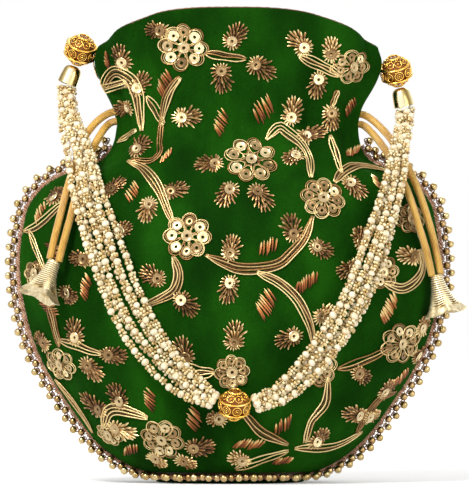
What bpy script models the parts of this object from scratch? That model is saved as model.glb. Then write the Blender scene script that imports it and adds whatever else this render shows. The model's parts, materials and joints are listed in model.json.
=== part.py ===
"""A velvet potli bag with a beaded edge, gold embroidery and a pearl handle.

Two velvet panels are joined down their side seams and along the front of the base.
The bag stands on the base, its front faces -Y, and the origin is on the floor
under the middle of the base. All sizes are in metres.
"""
import functools
import math

import bmesh
import bpy
from mathutils import Matrix, Vector

# Cloth body
SEAM_RADIUS = 0.101
SEAM_CENTER_Z = 0.1033
FOOT_SPREAD = 0.0074
FOOT_TOP_Z = 0.045
SHOULDER_Z = 0.125
NECK_Z = 0.172
NECK_HALF_LEFT = 0.0535
NECK_HALF_RIGHT = 0.0605
BASE_HALF_DEPTH = 0.026
BELLY_HALF_DEPTH = 0.056
BELLY_Z = 0.095
NECK_HALF_DEPTH = 0.0245
MOUTH_HALF_DEPTH = 0.030
MOUTH_FLARE = 0.0115
MOUTH_TOP_Z = 0.2275
MOUTH_SIDE_DROP = 0.020
FOLD_DEPTH = 0.0038
FOLDS_PER_PANEL = 7
CLOTH_COLUMNS = 28
VELVET_THICKNESS = 0.0013
LINING_THICKNESS = 0.0008
LINING_ROOM = 0.0013
LINING_NARROW = 0.0035
CHANNEL_ROOM = 0.0014
CLEARANCE = 0.0004

# Drawstrings in their channel
CORD_DIAMETER = 0.0036
LEFT_EXIT_Z = 0.1755
RIGHT_EXIT_Z = 0.1745
CROSSING_RISE = 0.0093

# Seam and bead edge
SEAM_GAP = 0.0044
SEAM_CURVE_TOP_Z = 0.045
SEAM_CURVE_DEPTH = 0.020
SEAM_BOTTOM_Z = 0.0032
LACE_THICKNESS = 0.0024
LACE_TUCK = 0.0010
LACE_REACH = 0.0002
LACE_TOP_Z = 0.1610
EDGE_BEAD_RADIUS = 0.0018
EDGE_BEAD_PITCH = 0.0067
INNER_ROW_OUT = 0.0029
OUTER_ROW_OUT = 0.0054
THREAD_RADIUS = 0.00035

# Handle
LEFT_BALL_OUT = 0.0181
RIGHT_BALL_OUT = 0.0191
LEFT_BALL_CENTER = (-NECK_HALF_LEFT - LEFT_BALL_OUT, 0.0, 0.2074)
RIGHT_BALL_CENTER = (NECK_HALF_RIGHT + RIGHT_BALL_OUT, 0.0, 0.1973)
LEFT_ROUTES_NECK = 0.0535
RIGHT_ROUTES_NECK = 0.0605
BALL_RADIUS = 0.008
BALL_WALL = 0.0011
BALL_BORE_RADIUS = 0.0019
PIN_RADIUS = 0.0012
PIN_REACH = 0.0020
CAP_LENGTH = 0.0088
CAP_TOP_RADIUS = 0.0038
CAP_RIM_RADIUS = 0.0050
CAP_WALL = 0.0008
STRAND_DIAMETER = 0.0026
STRAND_RING_RADIUS = 0.0030
STRAND_SPACING = 0.0040
STRANDS_PER_SIDE = 6
STRAND_POINTS = 16
CENTER_BALL = (0.0022, -0.0612, 0.0385)

# Tassels
TASSEL_LENGTH = 0.0185
TASSEL_TOP_RADIUS = 0.0044
TASSEL_HEM_RADIUS = 0.0098
TASSEL_WALL = 0.0009

# Embroidery. Places across are hundredths of the seam radius from the middle of the belly,
# places up are hundredths of the drop to the foot, and the mouth is at 122.97
FOOT_PLACE_Z = 0.0023
MOUTH_PLACE = 122.97
PETALS = 8
FLOWER_GAP = 0.0007
FLOWER_HEIGHT = 0.0011
VINE_WIDTH = 0.0028
PAD_HEIGHT = 0.0009
BACK_REACH = 54
FLOWERS = (
    (-20, 15, 10.6), (44, 33, 9.8), (1, -49, 8.5), (81, -36, 9.4), (-78, -46, 8.0),
    (-32, -81, 9.6), (83, 23, 7.5), (-89, -3, 7.0), (41, -47, 9.2), (72, -2, 8.0),
    (-55, -78, 7.0),
)
FOLD_FLOWERS = ((10, 51, 11.8), (-22, 104, 10.6), (58, 97, 8.2))
VINES = (
    ((-4, 1), (2, 0), (9, 0), (16, 1), (23, 3), (30, 9), (36, 17)),
    ((17, -5), (23, -7), (29, -12), (34, -19), (38, -29)),
    ((-25, -4), (-26, -9), (-30, -13), (-38, -17)),
    ((-46, 49), (-40, 46), (-33, 36), (-31, 31)),
    ((22, 65), (27, 65), (33, 59), (37, 52), (39, 50)),
    ((-92, 18), (-87, 22), (-82, 28)),
    ((-84, -19), (-83, -26), (-82, -33)),
    ((-70, -29), (-64, -34), (-59, -38)),
    ((-55, -70), (-50, -66), (-42, -70)),
    ((9, -68), (16, -77), (25, -82)),
    ((56, 47), (60, 48), (64, 48), (72, 46)),
    ((57, -76), (61, -68), (67, -62)),
)
SPRAYS = (
    (-38, 30, -41, 19), (-34, -5, -44, 1), (-44, 56, -39, 64), (-27, 37, -17, 39),
    (-7, 53, -19, 55), (-1, 36, -6, 29), (17, 30, 23, 22), (4, 9, 7, 19),
    (0, -8, -2, -19), (31, 53, 25, 51), (61, 41, 67, 33), (60, 11, 59, 20),
    (57, 2, 48, -3), (27, 19, 23, 29), (41, 10, 50, 6), (-76, -24, -76, -15),
    (-57, -47, -48, -50), (-63, -52, -60, -60), (-52, -57, -55, -48), (-61, -66, -69, -60),
    (-20, -15, -11, -22), (-20, -42, -24, -30), (3, -29, 4, -19), (26, -32, 18, -36),
    (46, -23, 53, -17), (62, -50, 69, -55), (72, -58, 74, -51), (48, -73, 41, -68),
    (-12, -84, -4, -84), (6, -92, -2, -90), (-77, 32, -76, 40), (42, -84, 44, -76),
)
PATCHES = (
    (-68, -7, 75), (-46, 36, 70), (18, 10, 20), (-4, 72, 75), (37, -6, 30),
    (-40, -59, 80), (-14, -68, 75), (17, -18, 60), (26, -71, 35), (10, -84, 0),
    (74, -17, 65), (80, -51, 55), (-82, 12, -60),
)

# Outline of the shoulders and mouth, as shares of their height and width
SHOULDER_SHAPE = (
    (0.0, 1.0), (0.14, 0.965), (0.28, 0.87), (0.39, 0.75), (0.48, 0.58),
    (0.54, 0.40), (0.59, 0.24), (0.68, 0.11), (0.83, 0.03), (1.0, 0.0),
)
MOUTH_SHAPE = ((0.0, 0.0), (0.2, 0.16), (0.42, 0.52), (0.62, 0.82), (0.82, 1.0), (1.0, 0.88))
BELLY_ROWS_Z = (0.003, 0.010, 0.021, 0.036, 0.054, 0.074, 0.093, 0.110)


def blend(a, b, t):
    return a + (b - a) * t


def smooth(t):
    t = min(max(t, 0.0), 1.0)
    return t * t * (3 - 2 * t)


def read_shape(shape, share):
    """Straight-line value of a list of (share, value) pairs."""
    for (s0, v0), (s1, v1) in zip(shape, shape[1:]):
        if share <= s1:
            return blend(v0, v1, (share - s0) / (s1 - s0))
    return shape[-1][1]


def catmull(points, share):
    """A point on the smooth curve through a list of points, share 0 to 1."""
    spans = len(points) - 1
    place = min(share * spans, spans - 1e-9)
    i = int(place)
    t = place - i
    p1, p2 = Vector(points[i]), Vector(points[i + 1])
    p0 = Vector(points[i - 1]) if i > 0 else 2 * p1 - p2
    p3 = Vector(points[i + 2]) if i + 2 <= spans else 2 * p2 - p1
    return 0.5 * (2 * p1 + (p2 - p0) * t + (2 * p0 - 5 * p1 + 4 * p2 - p3) * t * t
                  + (3 * p1 - p0 - 3 * p2 + p3) * t ** 3)


def spaced_curve(points, count):
    """Evenly spaced points along the smooth curve through the given points."""
    fine = [catmull(points, i / 400) for i in range(401)]
    lengths = [0.0]
    for a, b in zip(fine, fine[1:]):
        lengths.append(lengths[-1] + (b - a).length)
    result = []
    k = 0
    for i in range(count):
        goal = lengths[-1] * i / (count - 1)
        while k < 399 and lengths[k + 1] < goal:
            k += 1
        span = max(lengths[k + 1] - lengths[k], 1e-12)
        result.append(fine[k].lerp(fine[k + 1], (goal - lengths[k]) / span))
    return result


def belly_half_width(z):
    spread = FOOT_SPREAD * smooth((FOOT_TOP_Z - z) / FOOT_TOP_Z)
    radius = SEAM_RADIUS + spread
    return math.sqrt(max(radius ** 2 - (z - SEAM_CENTER_Z) ** 2, 1e-8))


def half_width(z, side):
    """Half width of the body below the neck. Side is -1 on the left, 1 on the right."""
    if z <= SHOULDER_Z:
        return belly_half_width(z)
    neck = NECK_HALF_RIGHT if side > 0 else NECK_HALF_LEFT
    share = min((z - SHOULDER_Z) / (NECK_Z - SHOULDER_Z), 1.0)
    return blend(neck, belly_half_width(SHOULDER_Z), read_shape(SHOULDER_SHAPE, share))


def half_depth(z):
    if z <= BELLY_Z:
        share = 1 - ((BELLY_Z - z) / BELLY_Z) ** 2.2
        return blend(BASE_HALF_DEPTH, BELLY_HALF_DEPTH, math.sqrt(max(share, 0.0)))
    share = min((z - BELLY_Z) / (NECK_Z - BELLY_Z), 1.0)
    return blend(NECK_HALF_DEPTH, BELLY_HALF_DEPTH, (1 - share ** 2.4) ** 1.3)


def pinch(z):
    """Exponent of the section: 1 is an oval, more is pinched towards the side seams."""
    if z <= BELLY_Z:
        return blend(1.0, 1.4, smooth(z / BELLY_Z))
    return blend(1.4, 1.15, smooth((z - BELLY_Z) / (NECK_Z - BELLY_Z)))


def fold_amount(z):
    return FOLD_DEPTH * smooth((z - SHOULDER_Z) / (NECK_Z - SHOULDER_Z))


def fold_wave(angle):
    """Triangle wave of the gathers, 0 at the side seams, with uneven folds."""
    turns = angle / math.pi * FOLDS_PER_PANEL
    ramp = abs((turns % 1.0) * 2 - 1)
    return (1 - ramp) * (0.8 + 0.2 * math.sin(3 * angle + 1))


def section_point(angle, left, right, depth, power, fold, z):
    """Angle 0 is the right seam, 90 degrees the middle of the front."""
    cosine, sine = math.cos(angle), math.sin(angle)
    side = right if cosine > 0 else left
    out = Vector((cosine * depth, -sine * side, 0)).normalized()
    push = fold * fold_wave(angle)
    x = side * cosine + out.x * push
    y = -depth * math.copysign(abs(sine) ** power, sine) + out.y * push
    return Vector((x, y, z))


def mouth_top(angle):
    return MOUTH_TOP_Z - MOUTH_SIDE_DROP * abs(math.cos(angle)) ** 3.2


def body_point(angle, z=None, rise=0.0, inset=0.0, narrow=0.0):
    """Point of the cloth below the neck at height z, or in the mouth at rise 0 to 1.

    Inset moves it inwards all round, narrow takes more off the width."""
    if z is not None and z < NECK_Z:
        left, right = half_width(z, -1), half_width(z, 1)
        depth, power, fold = half_depth(z), pinch(z), fold_amount(z)
    else:
        flare = MOUTH_FLARE * read_shape(MOUTH_SHAPE, rise)
        left, right = NECK_HALF_LEFT + flare, NECK_HALF_RIGHT + flare
        depth = blend(NECK_HALF_DEPTH, MOUTH_HALF_DEPTH, smooth(rise))
        power, fold = pinch(NECK_Z), FOLD_DEPTH * blend(1.0, 0.7, rise)
        z = blend(NECK_Z, mouth_top(angle), rise)
    if inset:
        fold = 0.0
    less = inset + narrow
    return section_point(angle, left - less, right - less, depth - inset, power, fold, z)


@functools.lru_cache(maxsize=None)
def cloth_columns():
    """Points of the outer cloth from the base to the mouth, column by column."""
    rings = cloth_rings()
    return [[ring[k] for ring in rings] for k in range(CLOTH_COLUMNS)]


@functools.lru_cache(maxsize=None)
def cloth_outline(z, back):
    """Points of one panel at height z, from the right seam to the left seam."""
    half = CLOTH_COLUMNS // 2
    outline = []
    for k in range(half + 1):
        column = cloth_columns()[-k if back else k]
        for low, high in zip(column, column[1:]):
            if z <= high.z:
                break
        outline.append(low.lerp(high, min((z - low.z) / (high.z - low.z), 1.0)))
    return outline


def on_cloth(x, z, back):
    """Point of the outer cloth seen from the front or back at x, z."""
    outline = cloth_outline(z, back)
    for right, left in zip(outline, outline[1:]):
        if x >= left.x:
            break
    return right.lerp(left, min(max((x - right.x) / (left.x - right.x), 0.0), 1.0))


def front_point(x, z, back=False):
    """Point of the outer cloth seen from the front at x, z, and its outward normal."""
    step = 0.0015
    here = on_cloth(x, z, back)
    across = on_cloth(x + step, z, back) - on_cloth(x - step, z, back)
    up = on_cloth(x, z + step, back) - on_cloth(x, z - step, back)
    normal = across.cross(up).normalized()
    if (normal.y > 0) != back:
        normal.negate()
    return here, normal


def lifted(x, z, lift, back=False):
    here, normal = front_point(x, z, back)
    return here + normal * lift


def panel_place(across, up, back=False):
    """Real x, z of a place given in hundredths."""
    unit = SEAM_RADIUS / 100
    if up < 0:
        step = (SEAM_CENTER_Z - FOOT_PLACE_Z) / 100
    else:
        step = (MOUTH_TOP_Z - SEAM_CENTER_Z) / MOUTH_PLACE
    return (-across if back else across) * unit, SEAM_CENTER_Z + up * step


def make_material(name, color, roughness, metallic):
    material = bpy.data.materials.new(name)
    material.use_nodes = True
    shader = material.node_tree.nodes["Principled BSDF"]
    shader.inputs["Base Color"].default_value = (*color, 1.0)
    shader.inputs["Roughness"].default_value = roughness
    shader.inputs["Metallic"].default_value = metallic
    return material


def add_object(name, mesh, material, parent=None):
    piece = bpy.data.objects.new(name, mesh)
    bpy.context.collection.objects.link(piece)
    if material:
        mesh.materials.append(material)
    if parent:
        piece.parent = parent
        piece.matrix_parent_inverse = parent.matrix_world.inverted()
    return piece


def mesh_from(name, points, faces):
    mesh = bpy.data.meshes.new(name)
    mesh.from_pydata([tuple(p) for p in points], [], faces)
    bm = bmesh.new()
    bm.from_mesh(mesh)
    bmesh.ops.recalc_face_normals(bm, faces=bm.faces)
    if bm.calc_volume(signed=True) < 0:
        bmesh.ops.reverse_faces(bm, faces=bm.faces)
    bm.to_mesh(mesh)
    bm.free()
    return mesh


def apply_modifiers(piece):
    """Replace the mesh by its evaluated form, so cuts can follow each other."""
    graph = bpy.context.evaluated_depsgraph_get()
    mesh = bpy.data.meshes.new_from_object(piece.evaluated_get(graph))
    piece.modifiers.clear()
    piece.data = mesh


def loft(rings, close_start=False, close_end=False):
    """Points and faces of closed rings joined one to the next."""
    count = len(rings[0])
    points = [p for ring in rings for p in ring]
    faces = []
    for r in range(len(rings) - 1):
        for i in range(count):
            j = (i + 1) % count
            a, b = r * count, (r + 1) * count
            faces.append((a + i, a + j, b + j, b + i))
    if close_start:
        faces.append(tuple(range(count - 1, -1, -1)))
    if close_end:
        last = (len(rings) - 1) * count
        faces.append(tuple(range(last, last + count)))
    return points, faces


def cloth_rings():
    """Rings of the outer cloth from its base up to the mouth."""
    angles = [2 * math.pi * i / CLOTH_COLUMNS for i in range(CLOTH_COLUMNS)]
    heights = [0.0] + list(BELLY_ROWS_Z)
    heights += [blend(SHOULDER_Z, NECK_Z, share) - 1e-6 for share, _ in SHOULDER_SHAPE]
    rings = [[body_point(a, z=z) for a in angles] for z in heights]
    for rise, _ in MOUTH_SHAPE[1:]:
        rings.append([body_point(a, rise=rise) for a in angles])
    return rings


def seam_center_line():
    """Side view of the seam, from the mouth down and forward to the front of the base."""
    line = [(0.0, SEAM_CURVE_TOP_Z, 0.0)]
    steps = 8
    for i in range(1, steps + 1):
        turn = math.pi / 2 * i / steps
        y = -SEAM_CURVE_DEPTH * (1 - math.cos(turn))
        z = SEAM_CURVE_TOP_Z - (SEAM_CURVE_TOP_Z - SEAM_BOTTOM_Z) * math.sin(turn)
        line.append((y, z, turn))
    return line


def half_cutter(name, side):
    """Everything in front of (side 1) or behind (side -1) the seam, less half its gap."""
    gap = SEAM_GAP / 2 * side
    edge = [(-gap, 0.30)]
    for y, z, turn in seam_center_line():
        edge.append((y - gap * math.cos(turn), z + gap * math.sin(turn)))
    edge.append((-0.15, SEAM_BOTTOM_Z + gap))
    if side > 0:
        outline = edge + [(-0.15, -0.05), (0.15, -0.05), (0.15, 0.30)]
    else:
        outline = edge + [(-0.15, 0.30)]
    reach = 0.2
    rings = [[Vector((x, y, z)) for y, z in outline] for x in (-reach, reach)]
    points, faces = loft(rings, True, True)
    cutter = add_object(name, mesh_from(name, points, faces), None)
    cutter.hide_render = True
    cutter.display_type = "WIRE"
    return cutter


def prism_between(low, high):
    """Closed solid between two outlines with the same number of points."""
    return loft([low, high], True, True)


def spray_outline(x0, z0, x1, z1):
    """Kite outline of a leaf spray, from its sequin to its tip."""
    along = Vector((x1 - x0, z1 - z0))
    side = Vector((-along.y, along.x)) * 0.42
    start = Vector((x0, z0)) - along * 0.30
    middle = Vector((x0, z0)) + along * 0.25
    return [start, middle - side, Vector((x1, z1)), middle + side]


def patch_outline(x, z, turn_degrees):
    """Slanted outline of a satin-stitch patch."""
    turn = Matrix.Rotation(math.radians(turn_degrees), 2)
    corners = ((-0.0052, -0.0022), (0.0026, -0.0036), (0.0052, 0.0022), (-0.0026, 0.0036))
    return [Vector((x, z)) + turn @ Vector(c) for c in corners]


def is_near_middle(*across):
    return all(abs(a) < BACK_REACH for a in across)


def stitched_pads(back):
    """All raised sprays and patches of one panel, as closed solids."""
    outlines = []
    for x0, z0, x1, z1 in SPRAYS:
        if not back or is_near_middle(x0, x1):
            outlines.append(spray_outline(*panel_place(x0, z0, back),
                                          *panel_place(x1, z1, back)))
    for x, z, turn in PATCHES:
        if not back or is_near_middle(x):
            outlines.append(patch_outline(*panel_place(x, z, back), turn))
    solids = []
    for outline in outlines[::2] if back else outlines:
        low = [lifted(p.x, p.y, -VELVET_THICKNESS * 0.5, back) for p in outline]
        high = [lifted(p.x, p.y, PAD_HEIGHT, back) for p in outline]
        solids.append(prism_between(low, high))
    return solids


def flower_solid(x, z, size, bottom, top, back=False):
    """Scalloped disc on the cloth. Its middle ring lets it follow the curve of the cloth."""
    rims = [flower_ring(x, z, size, lift, back) for lift in (bottom, top)]
    points, faces = loft(rims)
    count = 2 * PETALS
    for level, lift in enumerate((bottom, top)):
        outer = level * count
        ring = len(points)
        points += flower_ring(x, z, size * 0.5, lift, back)[::2]
        middle = len(points)
        points.append(lifted(x, z, lift, back))
        for k in range(PETALS):
            a = outer + 2 * k
            p, q = ring + k, ring + (k + 1) % PETALS
            faces += [(a, a + 1, p), (a + 1, q, p), (p, q, middle),
                      (a + 1, outer + (2 * k + 2) % count, q)]
    return points, faces


def stitched_flowers(back):
    """Flowers that are part of the panel: those over the folds, and all on the back."""
    solids = []
    flowers = [f for f in FLOWERS if is_near_middle(f[0])] if back else FOLD_FLOWERS
    for across, up, size in flowers:
        x, z = panel_place(across, up, back)
        solids.append(flower_solid(x, z, size, -VELVET_THICKNESS * 0.5, FLOWER_HEIGHT, back))
    return solids


def boolean(piece, cutter, operation):
    modifier = piece.modifiers.new(operation.title(), "BOOLEAN")
    modifier.operation = operation
    modifier.solver = "EXACT"
    modifier.object = cutter
    return modifier


def make_panels(material):
    """Front and back velvet panels, with the raised stitching on them."""
    rings = cloth_rings()
    for name, side in (("front_panel", 1), ("back_panel", -1)):
        points, faces = loft(rings, close_start=True)
        panel = add_object(name, mesh_from(name, points, faces), material)
        wall = panel.modifiers.new("Velvet", "SOLIDIFY")
        wall.thickness = VELVET_THICKNESS
        wall.offset = -1.0
        boolean(panel, half_cutter(name + "_cutter", side), "DIFFERENCE")
        apply_modifiers(panel)
        back = side < 0
        for points, faces in stitched_pads(back) + stitched_flowers(back):
            stitch = add_object("stitch", mesh_from("stitch", points, faces), None)
            stitch.hide_render = True
            stitch.display_type = "WIRE"
            boolean(panel, stitch, "UNION")
            apply_modifiers(panel)
            bpy.data.objects.remove(stitch, do_unlink=True)


def channel_inset(layer):
    """Inset of a drawstring's centre line: layer 0 lies against the velvet."""
    first = VELVET_THICKNESS + CHANNEL_ROOM + CORD_DIAMETER / 2
    return first + layer * (CORD_DIAMETER + CHANNEL_ROOM)


def make_lining(material):
    """Inner bag. At the neck it leaves room for two layers of drawstring."""
    channel = channel_inset(1) + CORD_DIAMETER / 2 + CHANNEL_ROOM
    close = VELVET_THICKNESS + LINING_ROOM
    angles = [2 * math.pi * i / CLOTH_COLUMNS for i in range(CLOTH_COLUMNS)]
    rings = []
    floor = VELVET_THICKNESS + 2 * CLEARANCE
    for z in (0.0, 0.010, 0.036, 0.074, 0.110):
        lift = floor * max(1 - z / FOOT_TOP_Z, 0.0)
        rings.append([body_point(a, z=z, inset=close, narrow=LINING_NARROW)
                      + Vector((0, 0, lift)) for a in angles])
    for share in (0.28, 0.48, 0.68, 1.0):
        z = blend(SHOULDER_Z, NECK_Z, share) - 1e-6
        near = smooth(share * 1.4)
        rings.append([body_point(a, z=z, inset=blend(close, channel, near),
                                 narrow=blend(LINING_NARROW, 0.0, near)) for a in angles])
    for rise, near in ((0.2, 1.0), (0.36, 1.0), (0.6, 0.6), (0.8, 0.2), (0.97, 0.0)):
        rings.append([body_point(a, rise=rise, inset=blend(close, channel, near),
                                 narrow=blend(LINING_NARROW / 2, 0.0, near)) for a in angles])
    points, faces = loft(rings, close_start=True)
    lining = add_object("lining", mesh_from("lining", points, faces), material)
    wall = lining.modifiers.new("Satin", "SOLIDIFY")
    wall.thickness = LINING_THICKNESS
    wall.offset = -1.0


def seam_height_points():
    """Points of the seam from the left neck round the base to the right neck."""
    side_z = [blend(LACE_TOP_Z, SEAM_CURVE_TOP_Z, i / 60) for i in range(61)]
    left = [(Vector((-half_width(z, -1), 0, z)), 0.0) for z in side_z]
    right = [(Vector((half_width(z, 1), 0, z)), 0.0) for z in side_z]
    curve = []
    for y, z, turn in seam_center_line()[1:]:
        share = min(abs(y) / half_depth(z), 0.999)
        sine = share ** (1 / pinch(z))
        curve.append((belly_half_width(z) * math.sqrt(1 - sine * sine), y, z, turn))
    last_x, _, z, turn = curve[-1]
    front = []
    for i in range(1, 12):
        x = blend(-last_x, last_x, i / 12)
        sine = math.sqrt(1 - (x / belly_half_width(z)) ** 2)
        front.append((Vector((x, -half_depth(z) * sine ** pinch(z), z)), math.pi / 2))
    down = [(Vector((-x, y, z)), turn) for x, y, z, turn in curve]
    up = [(Vector((x, y, z)), turn) for x, y, z, turn in reversed(curve)]
    return left + down + front + up + list(reversed(right))


def seam_path(count):
    """Evenly spaced seam points, each with its direction along and out of the seam."""
    rough = seam_height_points()
    lengths = [0.0]
    for (a, _), (b, _) in zip(rough, rough[1:]):
        lengths.append(lengths[-1] + (b - a).length)
    path = []
    k = 0
    for i in range(count):
        goal = lengths[-1] * i / (count - 1)
        while k < len(rough) - 2 and lengths[k + 1] < goal:
            k += 1
        t = (goal - lengths[k]) / max(lengths[k + 1] - lengths[k], 1e-12)
        path.append((rough[k][0].lerp(rough[k + 1][0], t), blend(rough[k][1], rough[k + 1][1], t)))
    framed = []
    for i, (point, turn) in enumerate(path):
        before = path[max(i - 2, 0)][0]
        after = path[min(i + 2, count - 1)][0]
        along = (after - before).normalized()
        across = Vector((0, -math.cos(turn), math.sin(turn)))
        across = (across - along * across.dot(along)).normalized()
        framed.append((point, along, across, along.cross(across).normalized()))
    return framed, lengths[-1]


def make_bead_edge(lace_material, bead_material):
    """Lace strip in the seam, and two zig-zag rows of metal beads on it."""
    framed, length = seam_path(72)
    half = LACE_THICKNESS / 2
    rings = []
    for point, _, across, out in framed:
        rings.append([point + out * o + across * a for o, a in
                      ((-LACE_TUCK, -half), (LACE_REACH, -half),
                       (LACE_REACH, half), (-LACE_TUCK, half))])
    points, faces = loft(rings, True, True)
    add_object("edge_lace", mesh_from("edge_lace", points, faces), lace_material)
    beads = int(length / EDGE_BEAD_PITCH)
    for name, offset, shift in (("edge_beads_inner", INNER_ROW_OUT, 0),
                                ("edge_beads_outer", OUTER_ROW_OUT, 1)):
        framed, _ = seam_path(2 * beads + 1)
        rings = []
        for i, (point, along, across, out) in enumerate(framed):
            radius = EDGE_BEAD_RADIUS if (i + shift) % 2 else THREAD_RADIUS
            middle = point + out * offset
            middle.z = max(middle.z, SEAM_BOTTOM_Z)
            rings.append([middle + out * (radius * math.cos(t)) + across * (radius * math.sin(t))
                          for t in (0.0, math.pi / 2, math.pi, 3 * math.pi / 2)])
        points, faces = loft(rings, True, True)
        add_object(name, mesh_from(name, points, faces), bead_material)


def flower_ring(x, z, size, lift, back=False):
    """Scalloped outline of a flower: a petal tip, then a valley, eight times."""
    ring = []
    scale = size / 100 * SEAM_RADIUS
    for i in range(2 * PETALS):
        turn = math.pi * i / PETALS
        reach = scale if i % 2 == 0 else scale * 0.76
        ring.append(lifted(x + reach * math.cos(turn), z + reach * math.sin(turn), lift, back))
    return ring


def make_flower(name, x, z, size, material):
    """Embroidered flower lying on the front panel."""
    points, faces = flower_solid(x, z, size, FLOWER_GAP, FLOWER_GAP + FLOWER_HEIGHT)
    add_object(name, mesh_from(name, points, faces), material)


def vine_gap(z):
    """Clearance under a vine: more where it crosses folds."""
    return FLOWER_GAP + 0.25 * fold_amount(z)


def make_vine(name, places, material):
    """A vine of couched gold cords as one low ribbon on the cloth."""
    flat = [Vector((*panel_place(*place), 0)) for place in places]
    count = max(4, 2 * len(places) - 1)
    line = spaced_curve(flat, count)
    rings = []
    for i, point in enumerate(line):
        along = (line[min(i + 1, count - 1)] - line[max(i - 1, 0)]).normalized()
        side = Vector((-along.y, along.x, 0)) * (VINE_WIDTH / 2)
        left, right = point + side, point - side
        gap = vine_gap(point.y)
        rings.append([lifted(left.x, left.y, gap),
                      lifted(right.x, right.y, gap),
                      lifted(right.x, right.y, gap + PAD_HEIGHT),
                      lifted(left.x, left.y, gap + PAD_HEIGHT)])
    points, faces = loft(rings, True, True)
    add_object(name, mesh_from(name, points, faces), material)


def make_embroidery(material):
    for k, (across, up, size) in enumerate(FLOWERS):
        make_flower("flower_%02d" % (k + 1), *panel_place(across, up), size, material)
    for k, places in enumerate(VINES):
        make_vine("vine_%02d" % (k + 1), places, material)


def make_tube(name, route, diameter, material, parent=None):
    """A plain cord along its route."""
    curve = bpy.data.curves.new(name, "CURVE")
    curve.dimensions = "3D"
    curve.bevel_depth = diameter / 2
    curve.bevel_resolution = 2
    curve.use_fill_caps = True
    spline = curve.splines.new("POLY")
    spline.points.add(len(route) - 1)
    for knot, point in zip(spline.points, route):
        knot.co = (*point, 1.0)
    return add_object(name, curve, material, parent)


def turned_shell(name, profile, center, axis, segments, material, parent=None):
    """Solid turned about an axis from a closed profile of (radius, height)."""
    turn = Vector((0, 0, 1)).rotation_difference(Vector(axis).normalized()).to_matrix()
    rings = []
    for radius, height in profile:
        rings.append([Vector(center) + turn @ Vector((radius * math.cos(t), radius * math.sin(t),
                                                      height))
                      for t in [2 * math.pi * i / segments for i in range(segments)]])
    points, faces = loft(rings + [rings[0]])
    last = (len(rings)) * segments
    faces = [tuple(i % last for i in face) for face in faces]
    return add_object(name, mesh_from(name, points[:last], faces), material, parent)


def ball_profile():
    """Hollow ball with a round hole at each pole."""
    inner = BALL_RADIUS - BALL_WALL
    profile = []
    for radius, order in ((BALL_RADIUS, 1), (inner, -1)):
        start = math.asin(BALL_BORE_RADIUS / radius)
        turns = [blend(start, math.pi - start, i / 6) for i in range(7)]
        profile += [(radius * math.sin(t), radius * math.cos(t)) for t in turns[::order]]
    return profile


def cap_profile():
    """Open cone that hides the knots of the strands, wide end down."""
    low, high = -CAP_LENGTH / 2, CAP_LENGTH / 2
    bore = 0.0012
    return [(bore, high), (CAP_TOP_RADIUS, high), (CAP_RIM_RADIUS, low),
            (CAP_RIM_RADIUS - CAP_WALL, low), (CAP_TOP_RADIUS - CAP_WALL, high - 0.0012),
            (bore, high - 0.0012)]


def bell_profile():
    """Flared tassel bell, top at height 0, open at its hem."""
    shares = (0.0, 0.3, 0.62, 0.85, 1.0)
    flare = (0.0, 0.10, 0.38, 0.72, 1.0)
    outer = [(blend(TASSEL_TOP_RADIUS, TASSEL_HEM_RADIUS, f), -TASSEL_LENGTH * s)
             for s, f in zip(shares, flare)]
    inner = [(r - TASSEL_WALL, h) for r, h in reversed(outer[1:])]
    return [(0.0008, 0.0)] + outer + inner + [(0.0008, -TASSEL_WALL * 1.5)]


# Routes of the two strand bundles, from the cap to the middle ball: x, y, z
LEFT_BUNDLE = (
    (-0.0785, -0.0011, 0.1897), (-0.0785, -0.0035, 0.1830), (-0.0758, -0.0110, 0.1712),
    (-0.0720, -0.0225, 0.1605), (-0.0694, -0.0320, 0.1490), (-0.0670, -0.0395, 0.1350),
    (-0.0622, -0.0455, 0.1205), (-0.0578, -0.0505, 0.1065), (-0.0520, -0.0540, 0.0920),
    (-0.0430, -0.0578, 0.0755), (-0.0315, -0.0600, 0.0600), (-0.0200, -0.0612, 0.0485),
    (-0.0070, -0.0612, 0.0398),
)
RIGHT_BUNDLE = (
    (0.0841, -0.0011, 0.1784), (0.0835, -0.0085, 0.1710), (0.0815, -0.0170, 0.1605),
    (0.0800, -0.0250, 0.1500), (0.0772, -0.0325, 0.1375), (0.0722, -0.0395, 0.1235),
    (0.0672, -0.0468, 0.1090), (0.0618, -0.0515, 0.0950), (0.0548, -0.0550, 0.0800),
    (0.0455, -0.0585, 0.0655), (0.0345, -0.0602, 0.0520), (0.0230, -0.0612, 0.0430),
    (0.0114, -0.0612, 0.0386),
)


def hung_from_neck(points):
    """A route moved with the neck at its upper end, and left alone at its lower end."""
    last = len(points) - 1
    if points[0][0] < 0:
        shift = LEFT_ROUTES_NECK - NECK_HALF_LEFT
    else:
        shift = NECK_HALF_RIGHT - RIGHT_ROUTES_NECK
    return [(x + shift * (1 - smooth(i / last)), y, z) for i, (x, y, z) in enumerate(points)]


def strand_offsets(share, index):
    """Place of one strand in its bundle: a ring at both ends, a flat row between."""
    order = (210, 150, 90, 270, 30, 330)
    turn = math.radians(order[index])
    ring_side = STRAND_RING_RADIUS * math.cos(turn)
    ring_out = STRAND_RING_RADIUS * math.sin(turn)
    row_side = (index - (STRANDS_PER_SIDE - 1) / 2) * STRAND_SPACING
    from_end = min(share, 1 - share)
    spread = smooth(from_end / 0.13)
    flatten = smooth((from_end - 0.11) / 0.13)
    return blend(ring_side, row_side, spread), blend(ring_out, 0.0, flatten)


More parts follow.
